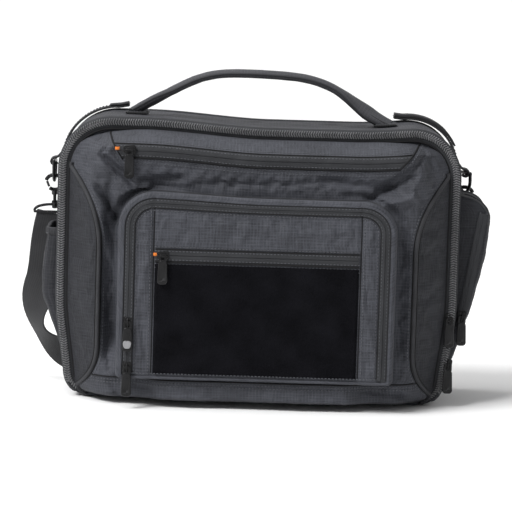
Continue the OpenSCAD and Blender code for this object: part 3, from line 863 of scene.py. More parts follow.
def zip_band(name, ends, low, high, surface, body):
    """Straight reversed zip on a surface, with welts drawn as near-black lines of painted shade, and
    stitching: ends(z) is its left and right x.
    """
    def line(height):
        return surface(np.linspace(*ends(height), 150), np.full(150, height))

    z, lift = tape_rows(low, high)
    points = surface(*strip_between(*ends(z), z, 150))
    points[..., 1] -= lift[:, None]
    panel(name, points, 0.7, body, "tape")
    # Welts: near-black lines of painted shade along both edges of the tape.
    for k, (edge, radius) in enumerate(((low - 0.4, 1.1), (high + 0.4, 0.8))):
        sweep(f"{name}_welt_{k}", line(edge) - [0, 0.5, 0], circle(radius, 8) * [1, 1.2], body, "seam")
    for k, height in enumerate((low + 1.6, high - 1.6, low - 2.6, low - 6.2, high + 2.6)):
        stitches(f"{name}_stitch_{k}", line(height) - [0, 0.75 if k < 2 else 0.15, 0], body)


def box_path(inset, closed=True, foot=None):
    """Outline of the box pocket, up the left side, over the top and down the right side."""
    low, high = BOX_LOW[2] + 0.3 * inset, BOX_HIGH[2] - inset
    points = rounded(BOX_HALF - inset, low, high, max(6 - inset, 1.5), BOX_RADIUS - inset, 7)
    if closed:
        points = np.concatenate([points, points[:1]])
    path = resample(points, 3.0)
    if foot is not None:
        path = path[path[:, 2] > foot]
    return path[:-1] if closed else path


def box_line(inset, foot, surface, lift):
    """Line on a surface that follows the outline of the box pocket, where it is higher than foot."""
    path = box_path(inset, closed=False, foot=foot)
    return surface(path[:, 0], path[:, 2], lift)


def ring_grid(profile, path_at, depth_at, closed):
    """Grid swept along matching outlines: one row for each (inset, share of the depth)."""
    base = path_at(0)
    count = len(base)
    grid = []
    for inset, share in profile:
        path = path_at(inset)
        at = np.linspace(0, len(path) - (0 if closed else 1), count, endpoint=not closed)
        wrapped = np.concatenate([path, path[:1]]) if closed else path
        x, z = (np.interp(at, np.arange(len(wrapped)), wrapped[:, k]) for k in (0, 2))
        grid.append(xyz(x, depth_at(x, z, share), settle(x, z)))
    return np.array(grid)


def box_depth(x, z, share):
    """From the front surface, at 0, to the face of the box pocket, at 1."""
    foot = front_y(x, z)
    uneven = 0.7 * ripple(x, z, 26, 51) * math.sin(math.pi * min(share, 1))
    return foot + (flap_y(x, z) - foot) * share + uneven


# Folds of the pocket's face. Its depth takes them away, so here a positive one is a ridge.
FLAP_FOLDS = [
    ((112, 200), (118, 90), 5, 2.2), ((-112, 200), (-110, 100), 5, 1.8), ((-90, 196), (40, 186), 6, 1.6),
    ((20, 182), (96, 190), 5, 1.4), ((104, 130), (122, 60), 4, 1.9), ((-118, 112), (-110, 44), 3.5, -1.9),
    ((-113, 150), (-119, 96), 3.5, 1.6),
]


def flap_y(x, z):
    """Depth of the face of the box pocket, with its soft swell, seams and folds."""
    x, z = np.broadcast_arrays(np.asarray(x, float), np.asarray(z, float))
    edge = np.clip((BOX_HALF - np.abs(x)) / 46, 0, 1) * np.clip((BOX_HIGH[2] - z) / 50, 0, 1)
    edge = edge * np.clip((z - BOX_LOW[2] + 14) / 40, 0, 1)
    seams = 1.1 * (bump(x, LOOP_LOW[0] - 1.5, 2) + bump(x, LOOP_HIGH[0] + 1.5, 2))
    folds = sum(crease(x, z, *fold) for fold in FLAP_FOLDS)
    on_zip = bump(z, (FACE_ZIP_LOW[2] + FACE_ZIP_HIGH[2]) / 2, 16)
    uneven = (0.6 * ripple(x, z, 60, 61) + 0.25 * ripple(x, z, 18, 62)) * (1 - on_zip)
    return BOX_Y - 1.8 * smooth(edge) + seams - folds + uneven * edge


def flap_points(x, z, lift=0.0):
    """Points on the face of the box pocket, lifted off it by some millimetres."""
    return xyz(x, flap_y(x, z) - lift, settle(x, z))


# Sections through the box pocket's wall and through its zip tape: inset, and share of the depth.
WALL_SECTION = [
    (3.4, -0.05), (4.6, 0.12), (4.8, 0.35), (4.0, 0.6), (2.9, 0.8), (2.6, 0.9), (3.2, 0.98), (4.6, 1.03),
    (7.2, 1.03), (8.2, 0.97), (8.3, 0.9),
]
TAPE_SECTION = [
    (8.7, 0.97), (9.2, 1.03), (10.6, 1.035), (12.6, 1.06), (13.0, 1.02), (13.2, 1.0), (13.4, 1.02),
    (13.8, 1.06), (15.8, 1.035), (17.2, 1.03), (17.7, 0.98),
]


def box_pocket():
    """Wall of the box pocket and its zip, with their stitching, welts and piping."""
    def leg(inset):
        return box_path(inset, closed=False, foot=FLAP_FOOT - 1)

    wall = ring_grid(WALL_SECTION, box_path, box_depth, True)
    panel("box_wall", np.concatenate([wall, wall[:, :1]], axis=1), 1.2, FRONT, "ripstop")
    panel("u_zip_tape", ring_grid(TAPE_SECTION, leg, box_depth, False), 0.7, FLAP, "tape")
    for name, inset, body, lift in (("box_stitch", 6.2, FRONT, 0.9),
                                    ("u_stitch_out", 10.0, FLAP, 0.9),
                                    ("u_stitch_in", 16.4, FLAP, 0.9),
                                    ("flap_stitch", 20.5, FLAP, 0.2)):
        stitches(name, box_line(inset, FLAP_FOOT + 3, flap_points, lift), body)
    x = np.linspace(-BOX_HALF + 20, BOX_HALF - 20, 120)
    stitches("box_foot_stitch", flap_points(x, np.full(120, FLAP_FOOT + 3.0), 2.3), FLAP)
    # Welts of the box pocket's zips: near-black lines of painted shade.
    seam("box_zip_welt", box_line(8.0, FLAP_FOOT, flap_points, 0.8), 0.9, FRONT)
    seam("flap_zip_welt", box_line(18.0, FLAP_FOOT, flap_points, 0.7), 0.7, FLAP)
    piping = box_line(3.2, BOX_LOW[2] + 4, front_points, 1.0)
    sweep("box_foot_piping", piping, circle(1.2, 8), FRONT, "piping")


def pocket_face():
    """Face of the box pocket with its own zip, the loop panel and the seams beside it."""
    inset = 16.6  # of the face's edge, just under the inner edge of the zip tape
    beside_pile = 1.6  # from the edge of the loop panel to the seam beside it
    heights = rows(FLAP_FOOT, BOX_HIGH[2] - inset, 120)
    half = row_half(heights, inset, FLAP_FOOT - 2, BOX_HIGH[2] - inset, 2, BOX_RADIUS - inset, BOX_HALF)
    x, z = strip_between(-half, half, heights, 170)
    edge = np.minimum(half[:, None] - np.abs(x), np.minimum(heights[-1] - z, z - FLAP_FOOT))
    on_zip = np.where(np.abs(x) < LOOP_HIGH[0] + 2, FACE_ZIP_HIGH[2] - z, -99)
    from_welt = np.abs(np.abs(x) - LOOP_HIGH[0] - beside_pile)
    hold = np.maximum(sewn(edge, 3, 6), np.maximum(sewn(from_welt, 3, 5), sewn(-on_zip, 5, 6)))
    shape = simulated(flap_points(x, z), hold, fullness=0.02, swell=1.0, cap=2.5)
    panel("flap_panel", shape, 1.2, FLAP, "ripstop")

    def face_ends(z):
        return 0 * z - LOOP_HIGH[0] + 0.5, 0 * z + LOOP_HIGH[0] - 0.5

    zip_band("face_zip_tape", face_ends, FACE_ZIP_LOW[2] + 0.5, FACE_ZIP_HIGH[2] - 0.5, flap_points, FLAP)
    heights = np.linspace(LOOP_LOW[2] + 2.5, LOOP_HIGH[2] - 1.5, 140)
    x, z = np.meshgrid(np.linspace(LOOP_LOW[0], LOOP_HIGH[0], 250), heights)
    edge = np.minimum(LOOP_HIGH[0] - np.abs(x), np.minimum(z - LOOP_LOW[2], LOOP_HIGH[2] - z))
    pile = 1.3 * smooth(edge / 2.5) + RNG.uniform(-0.16, 0.16, x.shape) * smooth(edge / 2)
    panel("loop_panel", flap_points(x, z, 0.3 + pile), 1.0, FLAP, "pile")
    z = np.linspace(FLAP_FOOT + 2, BOX_HIGH[2] - inset - 2, 80)
    # Beside the loop panel, near-black lines of painted shade in the seam grooves.
    for side in (-1, 1):
        x = np.full(80, side * (LOOP_HIGH[0] + beside_pile))
        seam(f"flap_welt_{side + 1}", flap_points(x, z, 0.2), 0.6, FLAP)
        stitches(f"flap_seam_stitch_{side + 1}", flap_points(x + side * 3, z, 0.15), FLAP)


# ---- main zip ----

def zip_path(inset, y, step=3.0):
    """Line of the main zip at an inset from the outline and at one depth."""
    path = outline(inset, step, ZIP_FOOT)
    path[:, 1] = y
    return path


def zip_side(name, insets, depths, body):
    """Tape of the main zip: one row for each inset and depth."""
    grid = []
    base = zip_path(insets[0], 0)
    for inset, y in zip(insets, depths):
        path = zip_path(inset, y)
        at = np.linspace(0, len(path) - 1, len(base))
        grid.append(np.stack([np.interp(at, np.arange(len(path)), path[:, k]) for k in range(3)], axis=1))
    panel(name, np.array(grid), 0.6, body, "tape")


def main_zip():
    """The zip round the bag: its two tapes and coils, the seam beside it and its stitching."""
    coil_pitch = 2.5
    front_depths = ZIP_Y - np.array([-0.2, 0.7, 0.6, 0.4, -0.8])
    zip_side("main_zip_front_tape", [5.9, 7.6, 9.6, 11.4, 13.4], front_depths, FRONT)
    rear_depths = [RIM_Y + 2.5, RIM_Y - 0.8, ZIP_Y + 0.8, ZIP_Y - 0.2, ZIP_Y + 0.2]
    zip_side("main_zip_rear_tape", [1.3, 1.3, 2.2, 3.3, 5.7], rear_depths, BAG)
    verts, faces = lozenge(5.0, 1.45, 2.4)
    for name, inset, shift, slant, body in (("main_coil_front", 7.3, 0.0, 0.5, FRONT),
                                            ("main_coil_rear", 4.4, 0.5, -0.5, BAG)):
        path = resample(zip_path(inset, ZIP_Y - 1.9, 2.0), coil_pitch)
        path = path[:-1] + shift * np.diff(path, axis=0)
        path = path[path[:, 2] > (ZIP_FOOT if body == FRONT else HINGE_CLEAR)]
        tangent, side, over = frames_along(path, (0, -1, 0))
        tilt = unit(side + slant * tangent)
        axes = np.stack([tilt, np.cross(over, tilt), over], axis=1)
        scatter(name, verts, faces, path, axes, body, "coil")
    # Near-black line of painted shade in the groove beside the main zip.
    seam("main_zip_seam", zip_path(13.2, ZIP_Y - 1.6), 1.2, FRONT)
    stitches("main_zip_stitch", zip_path(10.6, ZIP_Y - 0.5), FRONT)


# ---- handle ----

HANDLE_TOP = box_mm("handle_grip")[1][2]
HANDLE_HALF = -box_mm("handle_webbing")[0][0]
HANDLE_DROP = 4.5  # from the top of the grip to its middle line
HANDLE_END = 1.06  # the grip's ends, as a share of HANDLE_HALF
JOINTS = {joint["name"]: joint for joint in frame["joints"]}


def joint_at(name):
    """Place of a joint."""
    return np.array(JOINTS[name]["pos_m"]) / MM


HINGE = joint_at("handle_swing")


def arch(t):
    """Middle line of the handle, t from -1 to 1: flat on top, bending softly to straight slopes."""
    x = t * HANDLE_HALF
    bend_at, bend = 0.45, 0.1
    slope = np.logaddexp(0, (np.abs(t) - bend_at) / bend) * bend / (1 - bend_at)
    apex = HANDLE_TOP - HANDLE_DROP
    z = apex - (apex - HINGE[2] + 2) * slope
    z = z - (sag(x) - 1) * smooth((np.abs(t) - 0.55) / 0.45)
    return xyz(x, HINGE[1], z - 1.5 * np.sin(t * 2.2))


def handle():
    """Padded grip with its two pipings, and the webbing at its ends: all bend at the hinge."""
    t = np.linspace(-HANDLE_END, HANDLE_END, 156)
    path = arch(t)
    width = 0.8 + 0.2 * smooth((HANDLE_END - np.abs(t)) / 0.2)
    thick = 0.92 + 0.08 * smooth((HANDLE_END - np.abs(t)) / 0.1)
    twist = 0.5 * smooth((t - 0.6) / 0.3) - 0.2 * smooth((-t - 0.7) / 0.2)
    up = xyz(0, -np.sin(twist), np.cos(twist))
    _, across, over = frames_along(path, up)
    disc = circle(1, 36)
    shape = np.sign(disc) * np.abs(disc) ** [0.6, 0.75] * [10, 4.4]
    wrinkle = 1 + 0.03 * ripple(path[:, 0], path[:, 2], 18, 71)
    grip = sweep("handle_grip", path, shape, None, "handle", up=up,
                 scale=np.stack([width * wrinkle, thick * wrinkle], axis=1))
    parts = [grip]
    for side in (-1, 1):
        edge = path + across * (side * 9.6 * width * wrinkle)[:, None]
        parts.append(sweep(f"handle_piping_{side + 1}", edge, circle(1.15, 10), None, "piping", up=over))
    flat = round_rect(14, 2.0, 0.8)
    for side in (-1, 1):
        foot = arch(side * np.linspace(1.0, 0.9, 12))
        tail = foot[0] + np.array([[side * 12, 0, -2.6], [side * 6, 0, -2.2]])
        band = np.concatenate([tail, foot])
        parts.append(sweep(f"handle_web_{side + 1}", band, flat, None, "webbing", up=(0, 0, 1)))
    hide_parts("handle_webbing")
    for part in parts:
        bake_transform(part)


def handle_anchors():
    """Square patches on the top, each sewn down round its edge and across."""
    corners = 9 * np.array([[-1, -1], [1, -1], [1, 1], [-1, 1], [-1, -1], [1, 1], [1, -1], [-1, 1]])
    for side, node in ((-1, "left_handle_anchor"), (1, "right_handle_anchor")):
        low, high = box_mm(node)
        middle = (low + high) / 2
        x, y = np.meshgrid(np.linspace(low[0], high[0], 16), np.linspace(low[1], high[1], 16))
        from_edge = 12 - np.maximum(np.abs(x - middle[0]), np.abs(y - middle[1]))
        z = high[2] - sag(x) + 0.6 * smooth(from_edge / 3)
        panel(node, xyz(x, y, z), 1.4, BAG, "webbing")
        x, y = (middle[:2] + corners).T
        ends = xyz(x, y, high[2] - sag(x) + 0.7)
        for k in range(len(ends) - 1):
            stitches(f"anchor_stitch_{side + 1}_{k}", ends[k:k + 2], BAG, (0, 0, 1), pitch=2.6)


# ---- side pockets ----

def pocket_grid(side, reach, y0, y1, heights, corner, seed, columns=64):
    """Bellows shape on a gusset: out along the front wall, round, along the side and back in."""
    t = np.linspace(0, 1, columns)
    grid = []
    for z in heights:
        out = max(reach(z), 0.6)
        r = min(corner, out * 0.9)
        front = [(0, y0), (out - r, y0), (out - 0.3 * r, y0 + 0.3 * r), (out, y0 + r)]
        back = [(x, y0 + y1 - y) for x, y in front[::-1]]
        line = np.array(front + back)
        length = running_length(line)
        x, y = (np.interp(t * length[-1], length, line[:, k]) for k in (0, 1))
        uneven = 0.7 * ripple(y, z, 28, seed) + 0.35 * ripple(y, z, 11, seed + 1)
        wide = half_width(z) - 2.2 - FLARE * (x < 2) + x + uneven * smooth(x / 6)
        grid.append(xyz(side * wide, y, z))
    return np.array(grid)[:, ::side]


def left_pocket():
    """Open bellows pocket with a gathered binding along its rim."""
    low, high = box_mm("left_side_pocket")
    top = box_mm("left_pocket_binding")[1][2]
    deep = -HALF - low[0]

    def reach(z):
        return 2 + (deep + 1) * smooth((z - low[2] - 18) / 74) - 5 * smooth((z - high[2] + 40) / 46)

    heights = rows(low[2], top - 2, 70)
    # The pocket takes the darker copy of the ripstop: painted shade.
    panel("left_side_pocket", pocket_grid(-1, reach, low[1], high[1], heights, 9, 81), 1.2, BAG,
          "ripstop_painted_shade")
    rim = pocket_grid(-1, reach, low[1], high[1], [top - 5], 9, 81, 90)[0]
    rim[:, 0] += 0.5 * np.sin(np.arange(90) * 1.9)
    sweep("left_pocket_binding", rim, round_rect(3.2, 8, 1.4), BAG, "piping", up=(0, 0, 1))
    stitches("left_pocket_stitch", rim + [-1.8, 0, -2.5], BAG, (-1, 0, 0))


def right_pocket():
    """Domed bellows pocket, closed by a slanting zip, with a piping on each of its edges."""
    low, high = box_mm("right_side_pocket")
    deep = high[0] - HALF

    def reach(z):
        rise = 7 + (deep - 6) * smooth((z - low[2]) / (high[2] - low[2] - 26)) ** 0.9
        dome = math.sqrt(max(1 - max(0, (z - high[2] + 22) / 22) ** 2, 0))
        return rise * dome * float(smooth((z - low[2] + 3) / 12))

    heights = rows(low[2], high[2], 90)
    grid = pocket_grid(1, reach, low[1], high[1], heights, 7, 91, 80)
    # The pocket takes the darker copy of the ripstop: painted shade.
    panel("right_side_pocket", grid, 1.2, BAG, "ripstop_painted_shade")
    for edge, column in (("front", 26), ("back", 60)):
        line = grid[3:-3, column] + [0.4, 0, 0]
        sweep(f"right_pocket_{edge}_piping", line, circle(1.2, 8), BAG, "piping", up=(1, 0, 0))
    slope = np.array(JOINTS["side_zip_slide"]["axis"])
    start = joint_at("side_pull_lift") * [1, 0, 1] + [0, box_mm("right_pocket_tape")[1][1] - 0.6, 0]
    line = start + np.linspace(-11, 110, 70)[:, None] * slope
    across = np.array([-4.5, -3.8, -1.6, -0.4, 0, 0.4, 1.6, 3.8, 4.5])
    lift = np.array([0.2, 0.7, 1.0, 1.0, 0.3, 1.0, 1.0, 0.7, 0.2])
    side = np.cross(slope, [0, -1, 0])
    points = line[:, None] + across[:, None] * side - xyz(0, lift, 0)
    panel("right_pocket_tape", points[:, ::-1], 0.7, BAG, "tape")
    for k, off in enumerate((-3.4, 3.4)):
        stitches(f"right_tape_stitch_{k}", line + off * side - [0, 0.8, 0], BAG)


def trolley_sleeve():
    """Band across the back, sewn down at its two ends, for the handle of a trolley case."""
    low, high = box_mm("trolley_sleeve")
    x, z = np.meshgrid(np.linspace(high[0], low[0], 90), np.linspace(low[2], high[2], 70))
    edge = smooth((high[0] - np.abs(x)) / 14)
    y = BACK_Y + 1.0 + (high[1] - BACK_Y - 2.5) * edge + 0.7 * ripple(x, z, 50, 95) * edge
    sleeve = xyz(x, y, z)
    band = panel("trolley_sleeve", sleeve, 1.8, BAG, "ripstop_side")
    for k, row in enumerate((1, -2)):
        sweep(f"sleeve_hem_{k}", sleeve[row], round_rect(2.6, 7, 1.1), BAG, "piping", up=(0, 0, 1))
    for k, column in enumerate((3, 6, -4, -7)):
        stitches(f"sleeve_stitch_{k}", sleeve[:, column] + [0, 0.2, 0], BAG, (0, 1, 0))


# ---- webbing ----

def anchor_webbing(side, node, joint):
    """Webbing from the top, round the shoulder and through a D ring, doubled at its upper end."""
    bar = joint_at(joint)
    bar_x, bar_z = abs(bar[0]), bar[2]
    y = (box_mm(node)[0][1] + BACK_Y) / 2
    lead_in = [(140 + 3 * k, TOP + 4.2 - 0.6 * k) for k in range(4)]
    shoulder = arc((HALF - TOP_RADIUS, TOP - TOP_RADIUS), TOP_RADIUS + 2.4, math.pi / 2, 0.12, 22)
    round_bar = arc((bar_x, bar_z), 3.7, 1.9, -2.6, 14)
    line = np.concatenate([lead_in, shoulder, [(bar_x - 5, bar_z + 6)], round_bar])
    path = xyz(side * line[:, 0], y, line[:, 1])
    path[:, 1] += np.linspace(0, 1, len(line)) ** 2 * (bar[1] - y)
    path[:, 2] -= sag(path[:, 0]) * smooth((path[:, 2] - 240) / 50)
    path = resample(path, 2.5)
    up = up_hints(path, side)
    sweep(node, path, round_rect(18, 2.2, 0.9), BAG, "webbing", up=up)
    turned_back, thick = (9, 3.0) if side < 0 else (30, 3.8)
    tab = path[:turned_back] + up[:turned_back] * (thick / 2 + 0.9)
    thin = smooth(np.linspace(turned_back, 0, turned_back) / 10)
    sweep(node + "_tab", tab, round_rect(19, thick, 1.4), BAG, "webbing", up=up[:turned_back],
          scale=np.stack([0 * thin + 1, 0.5 + 0.5 * thin], axis=1))
    for k, off in enumerate((-7, 7)):
        stitches(f"{node}_stitch_{k}", path[:-9] + [0, off, 0] + up[:-9] * 1.2, BAG, up[:-9])


def up_hints(path, side):
    """Outward direction of webbing that runs in the plane of the front view."""
    tangent = unit(np.gradient(path, axis=0))
    return unit(xyz(-tangent[:, 2] * side, 0, tangent[:, 0] * side))


def shoulder_strap():
    """Strap that hangs from its left hook, runs along the foot of the back and rises to its right hook."""
    low, high = box_mm("shoulder_strap")
    half = 19  # of the webbing's width
    x_out = high[0] - half
    run_z = low[2] + half
    bend = 70  # radius of the turn at its lower left
    y = low[1] + 1.4
    t = np.linspace(0, 1, 12)
    drop = np.stack([-x_out - 5 * np.sin(math.pi * t), high[2] + (run_z + bend - high[2]) * t], axis=1)
    turn = arc((bend - x_out, run_z + bend), bend, math.pi + 0.08, 1.5 * math.pi, 18)
    run = [(x, run_z) for x in np.linspace(-x_out + bend + 12, 30, 10)]
    t = np.linspace(0, 1, 26)
    start, power = 40, 2.2
    rise_z = run_z + (high[2] - run_z) * t ** power
    rise = np.stack([start + (x_out - start) * (1 - (1 - t) ** power), rise_z], axis=1)
    line = np.concatenate([drop, turn, run, rise])
    path = resample(xyz(line[:, 0], y, line[:, 1]), 4)
    lower = 15 * bump(path[:, 0], -175, 55) * smooth((112 - path[:, 2]) / 50)
    path[:, 0] -= 28 * bump(path[:, 2], 60, 46) * smooth((-90 - path[:, 0]) / 60)
    path[:, 2] -= lower
    s = np.linspace(0, 1, len(path))
    twist = 1.15 * bump(s, TWIST_AT, 0.05)
    free = smooth(s / 0.06) * smooth((1 - s) / 0.06)
    path[:, 1] += free * (1.2 + 1.3 * ripple(s * 400, 0 * s, 120, 101) - 5 * bump(s, TWIST_AT, 0.08))
    up = xyz(0, np.cos(twist), 0)
    tangent = unit(np.gradient(path, axis=0))
    side = unit(np.cross(tangent, [0, 1, 0]))
    up = up + side * np.sin(twist)[:, None]
    shape = round_rect(2 * half, 2.3, 0.9)
    strap = sweep("shoulder_strap", path, shape, BAG, "webbing", up=up)
    for k, end in enumerate((path[:10], path[-10:])):
        sweep(f"strap_fold_{k}", end + [0, 2.6, 0], round_rect(2 * half - 1, 2.2, 0.9), BAG, "webbing",
              up=(0, 1, 0))
        across = np.linspace(-half + 5, half - 5, 12)
        for j, row in enumerate((3, 8)):
            line = end[row] + xyz(across, 3.8, 0)
            stitches(f"strap_fold_stitch_{k}_{j}", line, BAG, (0, 1, 0), pitch=2.6)


# ---- metal and plastic ----

FACING_FRONT = np.array([[1, 0, 0], [0, 0, 1], [0, -1, 0]])


def plate(name, outlines, thickness, bevel, place, axes, body, material="zip_metal"):
    """Flat casting with rounded edges. The first outline is its edge, the rest are holes.

    Its axes are x and y of the outlines, and the way it faces.
    """
    curve = bpy.data.curves.new(name, "CURVE")
    curve.dimensions, curve.fill_mode = "2D", "BOTH"
    curve.extrude, curve.bevel_depth, curve.bevel_resolution = thickness / 2 - bevel, bevel, 3
    for outline_points in outlines:
        spline = curve.splines.new("POLY")
        spline.points.add(len(outline_points) - 1)
        for point, (x, y) in zip(spline.points, outline_points):
            point.co = (x, y, 0, 1)
        spline.use_cyclic_u = True
    flat = bpy.data.objects.new(name + "_curve", curve)
    link(flat)
    bpy.context.view_layer.update()
    mesh = flat.evaluated_get(bpy.context.evaluated_depsgraph_get()).to_mesh()
    verts = np.array([v.co for v in mesh.vertices], float).reshape(-1, 3) @ np.array(axes, float) + place
    faces = [tuple(f.vertices) for f in mesh.polygons]
    bpy.data.objects.remove(flat)
    return make(name, verts, faces, body, material, sharp=50)


def lowered(points, drop):
    """Outline moved down."""
    return points - [0, drop]


def tapered(width, length, waist, radius=2.0):
    """Round-cornered outline, narrower at its lower end."""
    points = round_rect(width, length, radius, 5)
    share = (points[:, 1] + length / 2) / length
    points[:, 0] *= waist + (1 - waist) * share
    return points


def slider_and_pull(prefix, sideways, lean):
    """Cast slider with a bridge, and its pull. The slider runs up, with a lean in degrees, or sideways."""
    slider_node, pull_node = prefix.replace("*", "slider"), prefix.replace("*", "pull")
    low, high = box_mm(slider_node)
    middle = (low + high) / 2
    body = slider_node + "_body"
    turn = math.radians(lean)
    upright = np.array([math.sin(turn), 0, math.cos(turn)])
    run = upright[[2, 1, 0]] * [1, 1, -1] if sideways else upright
    out = np.array([0, -1.0, 0])
    cross = np.cross(run, out)
    axes = np.array([cross, run, out])
    centre = np.array([middle[0], high[1], middle[2]])
    base = tapered(8.8, 11.8, 0.72)
    plate(slider_node, [base], 1.5, 0.5, centre + out * 0.8, axes, body)
    deck = tapered(6.4, 10.2, 0.62, 1.6)
    plate(slider_node + "_deck", [deck], 0.8, 0.35, centre + out * 1.7, axes, body)
    t = np.linspace(0, math.pi, 16)
    bridge = centre + run * (np.cos(t) * 4.3)[:, None] + out * (2.0 + np.sin(t) ** 0.5 * 4.1)[:, None]
    sweep(slider_node + "_bridge", bridge, round_rect(2.2, 1.1, 0.4), body, "zip_metal", up=cross)
    pull(pull_node, middle[0])


def pull(node, x):
    """Pull hanging from a bridge: a frame round it, a tab with a small eye, and a pad on each face."""
    low, high = box_mm(node)
    body = node + "_body"
    hang = 2.4  # from the pull's top down to the bridge it hangs on
    place = np.array([x, low[1] + 2.4, high[2] - hang])
    neck = lowered(round_rect(7.2, 8.2, 2.2, 5), 2.3)
    window = lowered(round_rect(4.0, 4.6, 1.2, 4), 1.9)
    plate(node, [neck, window], 1.5, 0.5, place, FACING_FRONT, body)
    length = high[2] - hang - low[2]
    tab = lowered(tapered(8.6, length - 5.6, 0.8, 2.8) * [1, -1], (length + 5.4) / 2)
    eye = lowered(circle(0.9, 12), length - 3.4)
    plate(node + "_tab", [tab, eye], 2.3, 1.0, place, FACING_FRONT, body)
    pad = lowered(round_rect(4.2, length * 0.42, 1.4, 5), length * 0.58)
    for face in (-1, 1):
        plate(f"{node}_pad_{face + 1}", [pad], 0.8, 0.3, place + [0, face, 0], FACING_FRONT, body)


def lining_glimpses():
    """Bits of the orange lining that show at the closed ends of two zips."""
    for name, node, body, left in (("top_glimpse", "top_slider", FRONT, 12.5),
                                   ("face_glimpse", "face_slider", FLAP, 7.5)):
        low, high = box_mm(node)
        middle = (low + high) / 2
        x, z = np.meshgrid(np.linspace(-2.2, 2.2, 9), np.linspace(-1.6, 1.6, 7))
        dome = 1.2 * np.sqrt(np.clip(1 - (x / 2.4) ** 2 - (z / 1.9) ** 2, 0, 1))
        points = xyz(middle[0] - left + x, high[1] - 0.6 - dome, middle[2] + 0.8 + z)
        panel(name, points, 0.6, body, "lining")


def bright_end():
    """Plain bright cap near the end of the upper pull of the box pocket."""
    low, high = box_mm("box_pull_upper")
    place = np.array([(low[0] + high[0]) / 2, low[1] + 0.9, low[2] + 6.5])
    cap = tapered(8.2, 7.0, 0.7, 2.6)
    plate("box_pull_upper_cap", [cap], 1.4, 0.5, place, FACING_FRONT, "box_pull_upper_body", "bright_metal")


def zip_hardware():
    """All seven sliders, each with its pull."""
    for prefix in ("main_*_upper", "main_*_lower", "box_*_upper", "box_*_lower"):
        slider_and_pull(prefix, False, 0)
    for prefix in ("top_*", "face_*"):
        slider_and_pull(prefix, True, 0)
    slider_and_pull("side_*", False, 10)


def swivel_loops():
    """Wire loops that carry the strap: a straight bar under an arch, and a boss for the hook's stem."""
    for name in ("left", "right"):
        low, high = box_mm(name + "_swivel_loop")
        stem = joint_at(name + "_hook_swivel")
        lean = np.array(JOINTS[name + "_hook_swivel"]["axis"])
        wire = 1.5
        middle = (low[0] + high[0]) / 2
        half = (high[0] - low[0]) / 2 - wire
        y, foot = low[1] + 3.5, low[2] + wire
        rise = stem[2] - 1 - foot
        turn = np.linspace(0, math.pi, 28)
        arch_z = foot + rise * np.sin(turn) ** 0.7
        arch_x = middle + half * np.cos(turn)
        arch_y = y + (stem[1] - y) * (arch_z - foot) / rise
        bar_x = np.linspace(arch_x[-1], arch_x[0], 14)[1:-1]
        bar = xyz(bar_x, y, foot)
        path = np.concatenate([xyz(arch_x, arch_y, arch_z), bar])
        sweep(f"{name}_swivel_loop", path, circle(wire, 12), BAG, "ring_metal", closed=True)
        boss = stem + lean * np.linspace(-3, 2.4, 6)[:, None]
        sweep(f"{name}_loop_boss", boss, circle(3.3, 18), BAG, "ring_metal", up=(1, 0, 0))


def cad_metal():
    """Rings, hooks, gates and the adjuster keep their exact CAD shapes and get their finish here."""
    metal = [f"{side}_{part}" for part in ("d_ring", "hook", "gate") for side in ("left", "right")]
    finish = {**dict.fromkeys(metal, "ring_metal"), "strap_adjuster": "plastic"}
    for node, material in finish.items():
        obj = frame["nodes"][node]
        obj.data.materials.clear()
        obj.data.materials.append(MATERIALS[material])


# ---- floor, light and camera ----

CAMERA_RISE = 7.0  # degrees that it looks down
CAMERA_ROLL = 1.7  # degrees
CAMERA_AWAY = 3.0  # metres to the bag
VIEW_WIDTH = 0.527  # metres across the picture, at the bag


def studio_world():
    """White backdrop behind the bag, and soft even light of less strength from everywhere else."""
    world = bpy.data.worlds.new("studio")
    bpy.context.scene.world = world
    world.use_nodes = True
    tree = world.node_tree
    ground = tree.nodes["Background"]
    place = tree.nodes.new("ShaderNodeTexCoord")
    parts = tree.nodes.new("ShaderNodeSeparateXYZ")
    tree.links.new(place.outputs["Generated"], parts.inputs[0])
    spread = tree.nodes.new("ShaderNodeMapRange")
    for socket, value in zip(spread.inputs[1:5], (0.80, 0.96, 0.40, 1.08)):
        socket.default_value = value
    tree.links.new(parts.outputs[1], spread.inputs[0])
    ground.inputs[0].default_value = (1, 1, 1, 1)
    tree.links.new(spread.outputs[0], ground.inputs[1])


def lamp(name, kind, place, aim, energy, size):
    """Lamp aimed at a point. The size of a sun is an angle, that of an area lamp a diameter."""
    data = bpy.data.lights.new(name, kind)
    data.energy = energy
    if kind == "SUN":
        data.angle = math.radians(size)
    else:
        data.shape, data.size = "DISK", size
    obj = bpy.data.objects.new(name, data)
    obj.location = place
    obj.rotation_euler = (Vector(aim) - Vector(place)).to_track_quat("-Z", "Y").to_euler()
    link(obj)


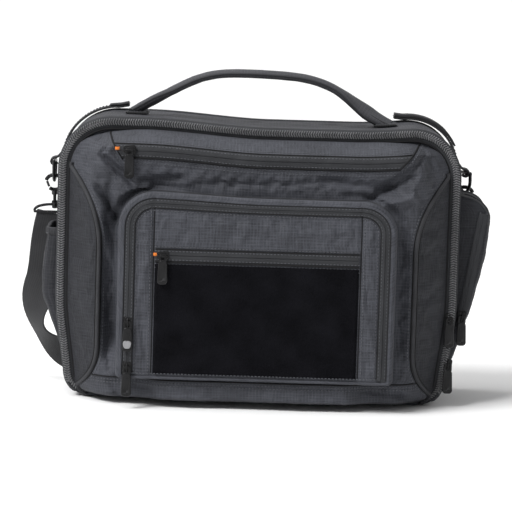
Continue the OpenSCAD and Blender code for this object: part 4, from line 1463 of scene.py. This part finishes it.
def floor_and_lamps():
    """White paper under the bag, a sun from the upper left front and a soft lamp above."""
    floor_mesh = bpy.data.meshes.new("floor")
    floor_mesh.from_pydata([(-9, -9, 0), (9, -9, 0), (9, 9, 0), (-9, 9, 0)], [], [(0, 1, 2, 3)])
    floor = bpy.data.objects.new("floor", floor_mesh)
    link(floor)
    paper = bpy.data.materials.new("paper")
    paper.use_nodes = True
    shader = paper.node_tree.nodes["Principled BSDF"]
    shader.inputs["Base Color"].default_value = (0.96, 0.96, 0.96, 1)
    shader.inputs["Roughness"].default_value = 0.9
    floor_mesh.materials.append(paper)
    middle = (0, -0.05, 0.15)
    lamp("key", "SUN", (-1.4, -1.2, 2.0), middle, 3.2, 24)
    lamp("top", "AREA", (-0.4, 0.1, 1.6), middle, 10, 0.9)


def camera_at_photo():
    """Camera that sees the bag as the photo does."""
    rise = math.radians(CAMERA_RISE)
    look_at = Vector((-0.0014, ZIP_Y * MM, 0.1515))
    data = bpy.data.cameras.new("camera")
    data.sensor_width = 36
    data.lens = data.sensor_width * CAMERA_AWAY / VIEW_WIDTH
    camera = bpy.data.objects.new("camera", data)
    away = Vector((0, -math.cos(rise), math.sin(rise)))
    camera.location = look_at + away * CAMERA_AWAY
    turn = (-away).to_track_quat("-Z", "Y").to_matrix() @ Matrix.Rotation(math.radians(CAMERA_ROLL), 3, "Z")
    camera.rotation_euler = turn.to_euler()
    link(camera)
    bpy.context.scene.camera = camera


def lights_and_camera():
    """Everything that is only there for the picture."""
    bpy.context.scene.view_settings.view_transform = "Standard"
    studio_world()
    floor_and_lamps()
    camera_at_photo()


gussets()
back_and_lining()
front_shell()
side_panels()
base_strip()
piping_and_seams()
zip_band("top_pocket_tape", between_seams, TOP_ZIP_LOW[2], TOP_ZIP_HIGH[2], front_points, FRONT)
box_pocket()
pocket_face()
main_zip()
handle()
handle_anchors()
left_pocket()
right_pocket()
trolley_sleeve()
anchor_webbing(-1, "left_anchor_strap", "left_ring_swing")
anchor_webbing(1, "right_anchor_strap", "right_ring_swing")
shoulder_strap()
zip_hardware()
bright_end()
lining_glimpses()
swivel_loops()
cad_metal()
lights_and_camera()
